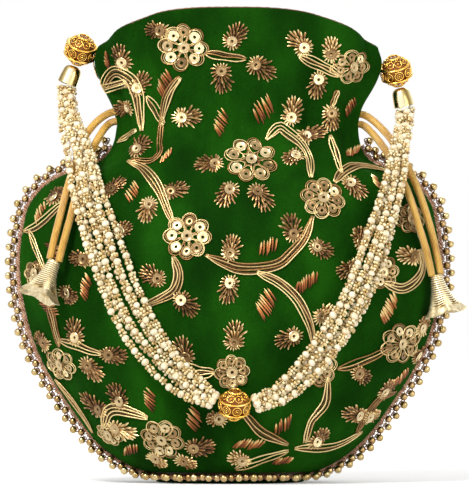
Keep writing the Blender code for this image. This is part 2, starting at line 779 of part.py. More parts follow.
def strand_route(bundle, index, ball, count=STRAND_POINTS):
    """Centre line of one strand."""
    line = spaced_curve(hung_from_neck(bundle), count)
    belly = Vector((0, 0, BELLY_Z))
    route = []
    for i, point in enumerate(line):
        along = (line[min(i + 1, count - 1)] - (line[i - 1] if i else ball)).normalized()
        out = point - belly
        out = (out - along * out.dot(along)).normalized()
        face = Vector((0, -1, 0)) * 0.75 + out * 0.25
        face = (face - along * face.dot(along)).normalized()
        side = along.cross(face).normalized()
        a, b = strand_offsets(i / (count - 1), index)
        route.append(point + side * a + face * b)
    return route


def make_handle(gold, brass, pearl):
    """Pearl handle: it swings on the two pins at the mouth."""
    left, right = Vector(LEFT_BALL_CENTER), Vector(RIGHT_BALL_CENTER)
    axis = (right - left).normalized()
    swing = bpy.data.objects.new("handle_swing", None)
    bpy.context.collection.objects.link(swing)
    swing.location = left
    bpy.context.view_layer.update()
    turned_shell("filigree_ball_left", ball_profile(), left, axis, 12, gold, swing)
    turned_shell("filigree_ball_right", ball_profile(), right, axis, 12, gold, swing)
    turned_shell("filigree_ball_center", ball_profile(), CENTER_BALL, (1, 0, 0), 12, gold, swing)
    for name, bundle, ball in (("cap_left", LEFT_BUNDLE, left), ("cap_right", RIGHT_BUNDLE, right)):
        end = Vector(hung_from_neck(bundle)[0])
        direction = (ball - end).normalized()
        reach = (ball - end).length - BALL_RADIUS - CLEARANCE
        middle = end + direction * (reach - CAP_LENGTH / 2)
        turned_shell(name, cap_profile(), middle, direction, 12, brass, swing)
    for side, bundle, ball in (("left", LEFT_BUNDLE, left), ("right", RIGHT_BUNDLE, right)):
        for k in range(STRANDS_PER_SIDE):
            make_tube("pearl_strand_%s_%d" % (side, k + 1), strand_route(bundle, k, ball),
                      STRAND_DIAMETER, pearl, swing)


def make_pins(material):
    """Thread pins from the mouth's side seams into the side balls: the handle turns on them."""
    left, right = Vector(LEFT_BALL_CENTER), Vector(RIGHT_BALL_CENTER)
    axis = (right - left).normalized()
    for name, ball, toward in (("handle_pin_left", left, axis), ("handle_pin_right", right, -axis)):
        start = ball + toward * (BALL_RADIUS * 0.45)
        end = ball + toward * (BALL_RADIUS + PIN_REACH)
        turn = Vector((0, 0, 1)).rotation_difference(toward).to_matrix()
        segments = 10
        ring = [turn @ Vector((PIN_RADIUS * math.cos(2 * math.pi * i / segments),
                               PIN_RADIUS * math.sin(2 * math.pi * i / segments), 0))
                for i in range(segments)]
        rings = [[start + p for p in ring], [end + p for p in ring]]
        points, faces = loft(rings, True, True)
        add_object(name, mesh_from(name, points, faces), material)


# Hanging tails of the drawstrings, from the seam to the tassel: x, y, z
LEFT_TAIL_OUTER = (
    (-0.0530, 0.0000, 0.1779), (-0.0580, -0.0004, 0.1770), (-0.0638, -0.0030, 0.1730),
    (-0.0690, -0.0075, 0.1665), (-0.0722, -0.0120, 0.1590), (-0.0748, -0.0175, 0.1505),
    (-0.0778, -0.0250, 0.1410), (-0.0808, -0.0300, 0.1290), (-0.0838, -0.0318, 0.1170),
    (-0.0859, -0.0318, 0.1074),
)
LEFT_TAIL_INNER = (
    (-0.0530, 0.0001, 0.1732), (-0.0560, 0.0002, 0.1729), (-0.0584, 0.0000, 0.1716),
    (-0.0612, -0.0045, 0.1682),
    (-0.0650, -0.0090, 0.1615), (-0.0682, -0.0165, 0.1535), (-0.0706, -0.0260, 0.1460),
    (-0.0733, -0.0305, 0.1380), (-0.0762, -0.0335, 0.1270), (-0.0792, -0.0350, 0.1160),
    (-0.0817, -0.0348, 0.1063),
)
RIGHT_TAIL_OUTER = (
    (0.0600, 0.0000, 0.1768), (0.0650, -0.0004, 0.1760), (0.0705, -0.0025, 0.1720),
    (0.0765, -0.0060, 0.1655), (0.0818, -0.0105, 0.1575), (0.0865, -0.0145, 0.1485),
    (0.0908, -0.0170, 0.1385), (0.0946, -0.0175, 0.1270), (0.0980, -0.0155, 0.1145),
    (0.1009, -0.0150, 0.1000),
)
RIGHT_TAIL_INNER = (
    (0.0600, 0.0001, 0.1721), (0.0638, 0.0001, 0.1714), (0.0668, -0.0016, 0.1690),
    (0.0700, -0.0050, 0.1655),
    (0.0745, -0.0085, 0.1595), (0.0790, -0.0125, 0.1520), (0.0833, -0.0195, 0.1435),
    (0.0870, -0.0245, 0.1340), (0.0905, -0.0240, 0.1225), (0.0940, -0.0210, 0.1110),
    (0.0967, -0.0175, 0.0994),
)
LEFT_TASSEL_TOP = (-0.0839, -0.0335, 0.1059)
LEFT_TASSEL_AXIS = (0.40, 0.18, 0.90)
RIGHT_TASSEL_TOP = (0.0988, -0.0162, 0.0990)
RIGHT_TASSEL_AXIS = (-0.24, 0.02, 0.97)


def loop_route(side, exit_z, layer_start):
    """Drawstring inside the channel: out of one seam, once round the neck, back again."""
    count = 30
    inset_out, inset_in = channel_inset(0), channel_inset(1)
    half_pitch = CORD_DIAMETER / 2 + CLEARANCE
    route = []
    for i in range(count + 1):
        share = i / count
        angle = 2 * math.pi * share + (math.pi if side < 0 else 0.0)
        far = 0.5 - 0.5 * math.cos(2 * math.pi * share)
        z = blend(exit_z, NECK_Z + CROSSING_RISE, smooth(far * 1.3))
        z += half_pitch * math.cos(math.pi * share) * (1 - smooth(far * 3))
        inset = inset_out if layer_start == 0 else inset_in
        inset = blend(inset, inset_out, smooth(1 - far * 9) if layer_start else 0.0)
        point = body_point(angle, rise=max(z - NECK_Z, 0.0) / (mouth_top(angle) - NECK_Z),
                           inset=inset)
        point.z = z
        route.append(point)
    return route


def make_drawstrings(satin, tassel_material):
    add = make_tube
    add("drawstring_loop_left", loop_route(-1, LEFT_EXIT_Z, 0), CORD_DIAMETER, satin)
    add("drawstring_loop_right", loop_route(1, RIGHT_EXIT_Z, 1), CORD_DIAMETER, satin)
    for name, route in (("left_outer", LEFT_TAIL_OUTER), ("left_inner", LEFT_TAIL_INNER),
                        ("right_outer", RIGHT_TAIL_OUTER), ("right_inner", RIGHT_TAIL_INNER)):
        add("drawstring_tail_" + name, spaced_curve(hung_from_neck(route), 16), CORD_DIAMETER,
            satin)
    turned_shell("tassel_left", bell_profile(), LEFT_TASSEL_TOP, LEFT_TASSEL_AXIS, 14,
                 tassel_material)
    turned_shell("tassel_right", bell_profile(), RIGHT_TASSEL_TOP, RIGHT_TASSEL_AXIS, 14,
                 tassel_material)


def main():
    for piece in list(bpy.data.objects):
        bpy.data.objects.remove(piece, do_unlink=True)
    velvet = make_material("green_velvet", (0.010, 0.060, 0.006), 0.85, 0.0)
    satin_lining = make_material("rust_satin", (0.150, 0.035, 0.015), 0.55, 0.0)
    lace = make_material("rose_lace", (0.420, 0.200, 0.150), 0.70, 0.0)
    brass = make_material("antique_brass", (0.500, 0.360, 0.130), 0.28, 1.0)
    gold = make_material("filigree_gold", (0.800, 0.420, 0.080), 0.30, 1.0)
    wire = make_material("embroidery_gold", (0.560, 0.330, 0.140), 0.40, 0.9)
    pearl = make_material("pearl_cream", (0.850, 0.740, 0.560), 0.25, 0.0)
    cord = make_material("ochre_satin", (0.520, 0.270, 0.040), 0.40, 0.0)
    silver = make_material("pale_gold_thread", (0.560, 0.480, 0.300), 0.40, 0.7)
    make_panels(velvet)
    make_lining(satin_lining)
    make_bead_edge(lace, brass)
    make_embroidery(wire)
    make_handle(gold, brass, pearl)
    make_pins(cord)
    make_drawstrings(cord, silver)


main()
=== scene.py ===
import json
import random
from math import asin, atan2, copysign, cos, hypot, pi, radians, sin, sqrt

import bpy
from mathutils import Matrix, Vector, noise
from mathutils.bvhtree import BVHTree

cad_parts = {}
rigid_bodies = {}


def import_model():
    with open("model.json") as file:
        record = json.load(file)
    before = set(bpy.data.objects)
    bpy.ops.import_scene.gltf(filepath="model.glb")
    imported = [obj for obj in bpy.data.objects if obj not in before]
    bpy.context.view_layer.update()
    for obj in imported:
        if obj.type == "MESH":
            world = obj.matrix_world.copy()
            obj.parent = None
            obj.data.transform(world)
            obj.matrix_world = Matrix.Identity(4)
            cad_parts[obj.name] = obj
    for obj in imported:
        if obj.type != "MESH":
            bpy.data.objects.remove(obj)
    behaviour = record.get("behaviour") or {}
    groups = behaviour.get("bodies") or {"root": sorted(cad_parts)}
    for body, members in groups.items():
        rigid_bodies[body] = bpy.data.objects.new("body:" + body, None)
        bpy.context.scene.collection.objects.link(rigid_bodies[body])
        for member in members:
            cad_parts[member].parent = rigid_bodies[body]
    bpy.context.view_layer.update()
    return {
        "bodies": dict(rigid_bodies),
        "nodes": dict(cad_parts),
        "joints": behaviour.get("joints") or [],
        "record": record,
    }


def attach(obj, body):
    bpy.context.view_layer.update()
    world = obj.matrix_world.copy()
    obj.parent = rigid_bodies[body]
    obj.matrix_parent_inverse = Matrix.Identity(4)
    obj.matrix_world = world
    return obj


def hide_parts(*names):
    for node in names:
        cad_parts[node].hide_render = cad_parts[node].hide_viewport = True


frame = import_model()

dice = random.Random(41)

# Cloth shape, as in the part's source
SEAM_RADIUS = 0.101
SEAM_CENTER_Z = 0.1033
FOOT_SPREAD = 0.0074
FOOT_TOP_Z = 0.045
SHOULDER_Z = 0.125
NECK_Z = 0.172
NECK_HALF_LEFT = 0.0535
NECK_HALF_RIGHT = 0.0605
BASE_HALF_DEPTH = 0.026
BELLY_HALF_DEPTH = 0.056
BELLY_Z = 0.095
NECK_HALF_DEPTH = 0.0245
MOUTH_HALF_DEPTH = 0.030
MOUTH_FLARE = 0.0115
MOUTH_TOP_Z = 0.2275
MOUTH_SIDE_DROP = 0.020
FOLD_DEPTH = 0.0042
FOLDS_PER_PANEL = 7
VELVET_THICKNESS = 0.0013
LINING_THICKNESS = 0.0006
HEM_RADIUS = 0.0005
LINING_INSET = 0.0028
SEAM_GAP = 0.0044
SEAM_CURVE_TOP_Z = 0.045
SEAM_CURVE_DEPTH = 0.020
SEAM_BOTTOM_Z = 0.0032
LACE_TOP_Z = 0.1610
SHOULDER_SHAPE = (
    (0.0, 1.0), (0.14, 0.965), (0.28, 0.87), (0.39, 0.75), (0.48, 0.58),
    (0.54, 0.40), (0.59, 0.24), (0.68, 0.11), (0.83, 0.03), (1.0, 0.0),
)
MOUTH_SHAPE = ((0.0, 0.0), (0.2, 0.16), (0.42, 0.52), (0.62, 0.82), (0.82, 1.0), (1.0, 0.88))

# Handle and drawstrings
BALLS = {
    "left": Vector((-0.0716, 0.0, 0.2074)), "right": Vector((0.0796, 0.0, 0.1973)),
    "center": Vector((0.0022, -0.0612, 0.0385)),
}
BALL_RADIUS = 0.008
CAP_LENGTH = 0.0088
PEARL_RADIUS = 0.00180
PEARL_PITCH = 0.0073
STRAND_RING_RADIUS = 0.0030
STRAND_SPACING = 0.0034
STRANDS_PER_SIDE = 6
CORD_DIAMETER = 0.0036
SEED_PITCH = 0.00125
SEED_REACH = 0.00128
THREAD_RADIUS = 0.0004
END_PEARL_RADIUS = 0.0019
BUNDLE_WIDTHS = {"left": 0.96, "right": 0.74}
BUNDLES = {"left": (
    (-0.0785, -0.0011, 0.1897), (-0.0785, -0.0035, 0.1830), (-0.0758, -0.0110, 0.1712),
    (-0.0720, -0.0225, 0.1605), (-0.0694, -0.0320, 0.1490), (-0.0670, -0.0395, 0.1350),
    (-0.0622, -0.0455, 0.1205), (-0.0578, -0.0505, 0.1065), (-0.0520, -0.0540, 0.0920),
    (-0.0430, -0.0578, 0.0755), (-0.0315, -0.0600, 0.0600), (-0.0200, -0.0612, 0.0485),
    (-0.0070, -0.0612, 0.0398),
), "right": (
    (0.0841, -0.0011, 0.1784), (0.0835, -0.0085, 0.1710), (0.0815, -0.0170, 0.1605),
    (0.0800, -0.0250, 0.1500), (0.0772, -0.0325, 0.1375), (0.0722, -0.0395, 0.1235),
    (0.0672, -0.0468, 0.1090), (0.0618, -0.0515, 0.0950), (0.0548, -0.0550, 0.0800),
    (0.0455, -0.0585, 0.0655), (0.0345, -0.0602, 0.0520), (0.0230, -0.0612, 0.0430),
    (0.0114, -0.0612, 0.0386),
)}
TAILS = {
    "left_outer": (
        (-0.0530, 0.0000, 0.1779), (-0.0580, -0.0004, 0.1770), (-0.0638, -0.0030, 0.1730),
        (-0.0690, -0.0075, 0.1665), (-0.0722, -0.0120, 0.1590), (-0.0748, -0.0175, 0.1505),
        (-0.0778, -0.0250, 0.1410), (-0.0808, -0.0300, 0.1290), (-0.0838, -0.0318, 0.1170),
        (-0.0859, -0.0318, 0.1074)),
    "left_inner": (
        (-0.0530, 0.0001, 0.1732), (-0.0560, 0.0002, 0.1729), (-0.0584, 0.0000, 0.1716),
        (-0.0612, -0.0045, 0.1682), (-0.0650, -0.0090, 0.1615), (-0.0682, -0.0165, 0.1535),
        (-0.0706, -0.0260, 0.1460), (-0.0733, -0.0305, 0.1380), (-0.0762, -0.0335, 0.1270),
        (-0.0792, -0.0350, 0.1160), (-0.0817, -0.0348, 0.1063)),
    "right_outer": (
        (0.0600, 0.0000, 0.1768), (0.0650, -0.0004, 0.1760), (0.0705, -0.0025, 0.1720),
        (0.0765, -0.0060, 0.1655), (0.0818, -0.0105, 0.1575), (0.0865, -0.0145, 0.1485),
        (0.0908, -0.0170, 0.1385), (0.0946, -0.0175, 0.1270), (0.0980, -0.0155, 0.1145),
        (0.1009, -0.0150, 0.1000)),
    "right_inner": (
        (0.0600, 0.0001, 0.1721), (0.0638, 0.0001, 0.1714), (0.0668, -0.0016, 0.1690),
        (0.0700, -0.0050, 0.1655), (0.0745, -0.0085, 0.1595), (0.0790, -0.0125, 0.1520),
        (0.0833, -0.0195, 0.1435), (0.0870, -0.0245, 0.1340), (0.0905, -0.0240, 0.1225),
        (0.0940, -0.0210, 0.1110), (0.0967, -0.0175, 0.0994)),
}
TASSELS = {
    "left": (Vector((-0.0839, -0.0335, 0.1059)), Vector((0.40, 0.18, 0.90))),
    "right": (Vector((0.0988, -0.0162, 0.0990)), Vector((-0.24, 0.02, 0.97))),
}
TASSEL_LENGTH = 0.0185
TASSEL_WINDINGS = 14
TASSEL_GROOVE = 0.00028

# Beaded edge
EDGE_PITCHES = 76
STRIP_STEPS = 620
STRIP_HALF_WIDTH = 0.00075
EDGE_BEAD_RADIUS = 0.0019
EDGE_ROW_REACH = (0.0054, 0.0031)

# Embroidery: places are hundredths of the seam radius from the middle of the belly.
# Flowers: place and radius
FLOWERS = (
    (-20, 15, 10.6), (44, 33, 9.8), (1, -49, 8.5), (81, -36, 9.4), (-80, -46, 8.0),
    (-32, -81, 9.6), (85, 23, 7.5), (-92, -3, 7.0), (41, -47, 9.2), (72, -2, 8.0),
    (-57, -79, 7.0), (10, 51, 11.8), (-22, 104, 10.6), (58, 95, 8.2),
)
# Sprays: place of the sequin, and the place that its stitches point to
SPRAYS = (
    (-83, 33, -82, 39), (-38, 30, -40, 20), (-34, -5, -43, 0), (-44, 56, -40, 63),
    (-28, 36, -19, 39), (-7, 49, -18, 50), (0, 37, -5, 27), (13, 36, 19, 25), (0, 7, 2, 17),
    (0, -7, -2, -18), (36, 62, 42, 64), (31, 53, 25, 49), (57, 40, 63, 31), (87, 5, 78, 7),
    (62, 12, 61, 20), (58, 0, 50, -3), (30, 16, 27, 27), (41, 10, 49, 6), (-73, -33, -73, -23),
    (-57, -41, -48, -42), (-67, -46, -61, -54), (-52, -63, -54, -53), (-62, -67, -70, -59),
    (-54, -76, -44, -80), (-23, -15, -14, -22), (-21, -42, -24, -31), (2, -35, 3, -23),
    (30, -32, 21, -36), (43, -23, 50, -18), (61, -50, 67, -54), (73, -59, 76, -52),
    (61, -70, 53, -68), (91, -29, 93, -24), (89, -42, 93, -40), (41, -82, 44, -75),
    (-17, -85, -6, -84), (-22, -91, -16, -94), (6, -91, -1, -87), (-33, 112, -41, 113),
    (1, 107, 7, 116), (-4, 93, -3, 81), (-51, 97, -53, 106), (-23, 71, -12, 72),
    (35, 104, 28, 112), (48, 101, 48, 110), (42, 89, 40, 79), (12, 96, 22, 90),
    (29, 71, 31, 82), (48, 73, 49, 64), (-48, 76, -53, 76), (-44, 85, -39, 93),
    (-56, 37, -50, 43), (-52, 17, -47, 21), (-77, -12, -73, -16), (-69, 4, -76, 5),
    (-88, -36, -92, -31), (-35, -90, -33, -94), (-5, -71, -10, -71), (66, -71, 72, -69),
)
# Vines: width in steps of VINE_STEP, and the places that they run through
VINES = (
    (2.8, (-9, 5), (-2, 2), (4, 0), (13, 0), (23, 2), (29, 7), (35, 14), (38, 22)),
    (2.6, (15, -3), (22, -6), (29, -12), (34, -19), (38, -28), (39, -35)),
    (2.6, (-26, 3), (-24, -3), (-26, -10), (-32, -14), (-38, -17)),
    (2.6, (-46, 49), (-40, 46), (-33, 36), (-28, 24)),
    (3.0, (19, 62), (23, 66), (27, 64), (33, 59), (37, 52), (38, 45)),
    (2.4, (-95, 18), (-92, 19), (-88, 22), (-84, 26), (-79, 30)),
    (2.6, (-85, -19), (-83, -27), (-81, -35)),
    (2.2, (-78, -35), (-72, -37), (-63, -40)),
    (3.2, (-59, -73), (-57, -68), (-50, -67), (-41, -70)),
    (2.4, (8, -70), (16, -78), (25, -82)),
    (2.8, (51, 42), (55, 46), (61, 48), (72, 46)),
    (2.8, (75, -8), (81, -10), (88, -6), (91, 0), (90, 6)),
    (2.6, (61, -76), (65, -69), (71, -62), (76, -60)),
    (2.2, (53, -47), (63, -44), (73, -39)),
    (3.2, (-59, 83), (-59, 88), (-54, 93), (-47, 89), (-44, 83), (-43, 78), (-42, 67)),
    (3.6, (-22, -47), (-16, -49), (-10, -49)),
    (2.2, (-9, 101), (-3, 100), (5, 99)),
    (2.8, (35, 99), (42, 96), (50, 92)),
    (1.4, (51, 84), (48, 76)),
    (2.0, (-44, 51), (-38, 50), (-33, 54), (-33, 60), (-32, 69)),
    (2.6, (-32, 69), (-29, 82), (-25, 88)),
    (2.4, (-32, 70), (-38, 79)),
    (2.2, (46, -54), (45, -63), (41, -69), (38, -73), (36, -80)),
    (2.4, (33, -85), (43, -85), (53, -83), (60, -79)),
    (2.4, (5, -94), (13, -91), (25, -87)),
    (1.8, (48, 60), (52, 47)),
    (1.4, (-44, 65), (-53, 59)),
    (1.8, (-81, -55), (-77, -60), (-73, -65), (-69, -71), (-66, -76)),
    (1.8, (-94, 15), (-92, 10), (-88, 0)),
)
# Patches: place, turn in degrees, length and width in millimetres, how pale it is
PATCHES = (
    (-90, 26, 70, 9, 4, 0.9), (-83, 8, -60, 9, 6, 0.3), (-86, -19, -60, 8, 6, 0.3),
    (-68, -9, 75, 11, 5, 0.4), (-46, 36, 70, 9, 6, 0.95), (-30, 53, 60, 7, 3, 0.8),
    (18, 10, 20, 9, 7, 0.5), (-4, 68, 75, 11, 6, 0.5), (58, 55, 20, 10, 4, 0.9),
    (36, -7, 30, 12, 6, 0.4), (-38, -62, 80, 9, 6, 0.4), (-17, -71, 75, 10, 7, 0.4),
    (17, -17, 60, 12, 9, 0.4), (25, -74, 35, 9, 6, 0.4), (9, -83, 0, 13, 5, 0.7),
    (75, -19, 65, 13, 6, 0.95), (81, -52, 55, 9, 5, 0.4), (25, -91, 10, 8, 4, 0.4),
    (-47, -86, 20, 8, 5, 0.4), (-31, 87, 60, 11, 6, 0.4), (16, 75, 50, 11, 9, 0.5),
    (-58, 98, 80, 7, 3, 0.15), (57, 76, 60, 8, 4, 0.15), (69, 41, 80, 6, 3, 0.9),
)
# Fans of a spray: stitches, share of its reach they start at, opening, length and width
SPRAY_TIERS = (
    (11, 0.0, 1.85, 0.42, 1.55), (6, 0.22, 0.95, 0.47, 1.6), (5, 0.44, 0.50, 0.42, 1.5),
)
STITCH_PITCH = 1.3
VINE_STEP = 0.0017
VINE_CORD_RADIUS = 0.00034
# Radius of the dark cords laid in the gaps between vine cords as painted shade
SHADE_GAP_CORD_RADIUS = 0.00030
DRAPE_HEIGHT = 0.012

CAMERA_AIM = Vector((0.0022, 0.0, 0.1114))
CAMERA_DISTANCE = 6.0
CAMERA_LIFT = radians(0.6)
CURVE_STEPS = 400
LINE_STEPS = 240
SMOOTH_BELOW = radians(50)
TO_FRONT = Vector((0, -1, 0))


def blend(a, b, t):
    return a + (b - a) * t


def smooth(t):
    t = min(max(t, 0.0), 1.0)
    return t * t * (3 - 2 * t)


def read_shape(shape, share):
    """Smooth value of a list of (share, value) pairs."""
    last = len(shape) - 1
    k = 0
    while k < last - 1 and share > shape[k + 1][0]:
        k += 1

    def slope(i):
        a, b = shape[max(i - 1, 0)], shape[min(i + 1, last)]
        return (b[1] - a[1]) / (b[0] - a[0])

    (s0, v0), (s1, v1) = shape[k], shape[k + 1]
    step = s1 - s0
    t = (share - s0) / step
    rise = slope(k) * step * t * (1 - t) ** 2 + slope(k + 1) * step * t * t * (t - 1)
    return v0 * (1 + 2 * t) * (1 - t) ** 2 + v1 * t * t * (3 - 2 * t) + rise


def catmull(points, share):
    spans = len(points) - 1
    place = min(share * spans, spans - 1e-9)
    i = int(place)
    t = place - i
    p1, p2 = Vector(points[i]), Vector(points[i + 1])
    p0 = Vector(points[i - 1]) if i > 0 else 2 * p1 - p2
    p3 = Vector(points[i + 2]) if i + 2 <= spans else 2 * p2 - p1
    return 0.5 * (2 * p1 + (p2 - p0) * t + (2 * p0 - 5 * p1 + 4 * p2 - p3) * t * t
                  + (3 * p1 - p0 - 3 * p2 + p3) * t ** 3)

def run_lengths(route):
    """Length of a route from its start up to each of its points."""
    lengths = [0.0]
    for a, b in zip(route, route[1:]):
        lengths.append(lengths[-1] + (b - a).length)
    return lengths


def even_places(lengths, count):
    """Evenly spaced places along a route, each as a span's number and a share of that span."""
    k = 0
    for i in range(count):
        goal = lengths[-1] * i / (count - 1)
        while k < len(lengths) - 2 and lengths[k + 1] < goal:
            k += 1
        yield k, (goal - lengths[k]) / max(lengths[k + 1] - lengths[k], 1e-12)


def spaced_curve(points, count):
    """Evenly spaced points along the smooth curve through the given points."""
    fine = [catmull(points, i / CURVE_STEPS) for i in range(CURVE_STEPS + 1)]
    return [fine[k].lerp(fine[k + 1], t) for k, t in even_places(run_lengths(fine), count)]


def direction_at(route, i, reach=1):
    return (route[min(i + reach, len(route) - 1)] - route[max(i - reach, 0)]).normalized()


# Tools for pieces
def pick(*parts):
    """Select these parts alone in object mode, with the first one active."""
    if bpy.context.object and bpy.context.object.mode != "OBJECT":
        bpy.ops.object.mode_set(mode="OBJECT")
    bpy.ops.object.select_all(action="DESELECT")
    for part in parts:
        part.select_set(True)
    if parts:
        bpy.context.view_layer.objects.active = parts[0]


def name_piece(name):
    piece = bpy.context.object
    piece.name = piece.data.name = name
    return piece


def join_pieces(name, parts):
    pick(*parts)
    if len(parts) > 1:
        bpy.ops.object.join()
    return name_piece(name)


def edit_all(piece, step, **settings):
    """Run one mesh operator on a whole piece."""
    pick(piece)
    bpy.ops.object.mode_set(mode="EDIT")
    bpy.ops.mesh.select_all(action="SELECT")
    step(**settings)
    bpy.ops.object.mode_set(mode="OBJECT")


def thicken(piece, thickness):
    """Give a cloth its thickness, inward from its outer face."""
    wall = piece.modifiers.new("cloth_wall", "SOLIDIFY")
    wall.thickness = thickness
    wall.offset = -1.0
    pick(piece)
    bpy.ops.object.modifier_apply(modifier=wall.name)


def set_tones(piece, tones):
    """Give each vertex the tone that the metal finishes read."""
    mesh = piece.data
    layer = mesh.attributes.get("tone") or mesh.attributes.new("tone", "FLOAT", "POINT")
    layer.data.foreach_set("value", tones)


def give_tone(piece, tone):
    set_tones(piece, [tone] * len(piece.data.vertices))


def copy_at(template, place, tone=0.5):
    """A copy of a template with its own mesh at its place. It keeps its tones if tone is None."""
    piece = template.copy()
    piece.data = template.data.copy()
    bpy.context.collection.objects.link(piece)
    piece.data.transform(place)
    if tone is not None:
        give_tone(piece, tone)
    return piece


def drop(*parts):
    for part in parts:
        bpy.data.objects.remove(part, do_unlink=True)


def facing(direction, place=(0, 0, 0), spin=0.0, size=1.0):
    """Place that turns +Z to the direction."""
    turn = Vector((0, 0, 1)).rotation_difference(Vector(direction).normalized()).to_matrix()
    return (Matrix.Translation(Vector(place)) @ turn.to_4x4()
            @ Matrix.Rotation(spin, 4, "Z") @ Matrix.Scale(size, 4))


def turned_piece(name, profile, sides, ring=False):
    """Turned about Z: a circle is drawn out and resized from one profile point to the next."""
    pick()
    radius, height = profile[0]
    bpy.ops.mesh.primitive_circle_add(vertices=sides, radius=radius)
    bpy.ops.object.mode_set(mode="EDIT")
    bpy.ops.transform.translate(value=(0, 0, height))
    for (r0, h0), (r1, h1) in zip(profile, profile[1:]):
        bpy.ops.mesh.extrude_region_move(TRANSFORM_OT_translate={"value": (0, 0, h1 - h0)})
        bpy.ops.transform.resize(value=(r1 / r0, r1 / r0, 1))
    bpy.ops.mesh.select_all(action="DESELECT")
    bpy.ops.mesh.select_non_manifold()
    if ring:
        bpy.ops.mesh.bridge_edge_loops()
    else:
        bpy.ops.mesh.edge_face_add()
    bpy.ops.mesh.select_all(action="SELECT")
    bpy.ops.mesh.normals_make_consistent(inside=False)
    bpy.ops.object.mode_set(mode="OBJECT")
    bpy.ops.object.shade_smooth_by_angle(angle=SMOOTH_BELOW)
    return name_piece(name)


def smooth_form(name, finish=None):
    """Shade the form that was just added smooth, and give it its name and material."""
    bpy.ops.object.shade_smooth()
    piece = name_piece(name)
    if finish:
        piece.data.materials.append(finish)
    return piece


def bead_form(name, rounds=2, finish=None):
    pick()
    bpy.ops.mesh.primitive_ico_sphere_add(subdivisions=rounds, radius=1.0)
    return smooth_form(name, finish)


def ring_form(name, major, minor, sides, round_sides, finish=None):
    pick()
    bpy.ops.mesh.primitive_torus_add(major_radius=major, minor_radius=minor,
                                     major_segments=sides, minor_segments=round_sides)
    return smooth_form(name, finish)


def put(name, data):
    """New object in the scene for a mesh, a camera or a lamp."""
    made = bpy.data.objects.new(name, data)
    bpy.context.collection.objects.link(made)
    return made


def mesh_piece(name, points, faces, uvs=None):
    """Piece from points and faces. Uvs gives one (u, v) for each corner of each face."""
    mesh = bpy.data.meshes.new(name)
    mesh.from_pydata([tuple(p) for p in points], [], faces)
    mesh.polygons.foreach_set("use_smooth", [True] * len(mesh.polygons))
    if uvs:
        layer = mesh.uv_layers.new(name="UVMap")
        layer.uv.foreach_set("vector", [c for corner in uvs for c in corner])
    return put(name, mesh)

def make_tube(name, route, radius, sides=10, swell=None):
    """Round cord along its route. U runs round it and V along it, in metres."""
    face = TO_FRONT
    points, uvs, faces = [], [], []
    lengths = run_lengths(route)
    for i, point in enumerate(route):
        along = direction_at(route, i)
        side = along.cross(face).normalized()
        face = side.cross(along).normalized()
        size = radius * (swell(lengths[i]) if swell else 1.0)
        for k in range(sides):
            turn = 2 * pi * k / sides
            points.append(point + side * (size * cos(turn)) + face * (size * sin(turn)))
    for i in range(len(route) - 1):
        low, high = lengths[i], lengths[i + 1]
        for k in range(sides):
            a, b = i * sides + k, i * sides + (k + 1) % sides
            faces.append((b, a, a + sides, b + sides))
            u0, u1 = k / sides, (k + 1) / sides
            uvs += [(u1, low), (u0, low), (u0, high), (u1, high)]
    last = len(points) - sides
    faces += [tuple(range(sides)), tuple(range(last + sides - 1, last - 1, -1))]
    uvs += [(0.0, 0.0)] * sides + [(0.0, lengths[-1])] * sides
    return mesh_piece(name, points, faces, uvs)


def dress(piece, finish, body="bag", replaced=()):
    """Give a finished piece its material, its body and the CAD nodes that it stands for."""
    if finish:
        piece.data.materials.clear()
        piece.data.materials.append(finish)
    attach(piece, body)
    if replaced:
        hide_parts(*replaced)
    return piece


# Finishes
class Wiring:
    """Short ways to add nodes to the tree of a material or a world, and to join them."""

    def __init__(self, owner):
        owner.use_nodes = True
        self.tree = owner.node_tree

    def add(self, kind, **inputs):
        made = self.tree.nodes.new("ShaderNode" + kind)
        for key, value in inputs.items():
            self.feed(made.inputs[key.replace("_", " ")], value)
        return made

    def feed(self, socket, value):
        if isinstance(value, bpy.types.NodeSocket):
            self.tree.links.new(value, socket)
        else:
            socket.default_value = value

    def colors(self, value, *stops):
        made = self.add("ValToRGB", Fac=value)
        line = made.color_ramp.elements
        while len(line) < len(stops):
            line.new(0.5)
        for element, (place, color) in zip(line, stops):
            element.position = place
            element.color = (*color, 1.0)
        return made.outputs["Color"]

    def show(self, output, plain, direct):
        """Send out the plain shader, and the direct one to rays that look straight at it."""
        path = self.add("LightPath")
        seen = path.outputs["Is Camera Ray"]
        for kind in ("Is Glossy Ray", "Is Transmission Ray"):
            either = self.add("Math")
            either.operation = "MAXIMUM"
            self.feed(either.inputs[0], seen)
            self.feed(either.inputs[1], path.outputs[kind])
            seen = either.outputs[0]
        mix = self.add("MixShader")
        for socket, value in zip(mix.inputs, (seen, plain.outputs[0], direct.outputs[0])):
            self.feed(socket, value)
        self.feed(self.tree.nodes[output].inputs["Surface"], mix.outputs[0])


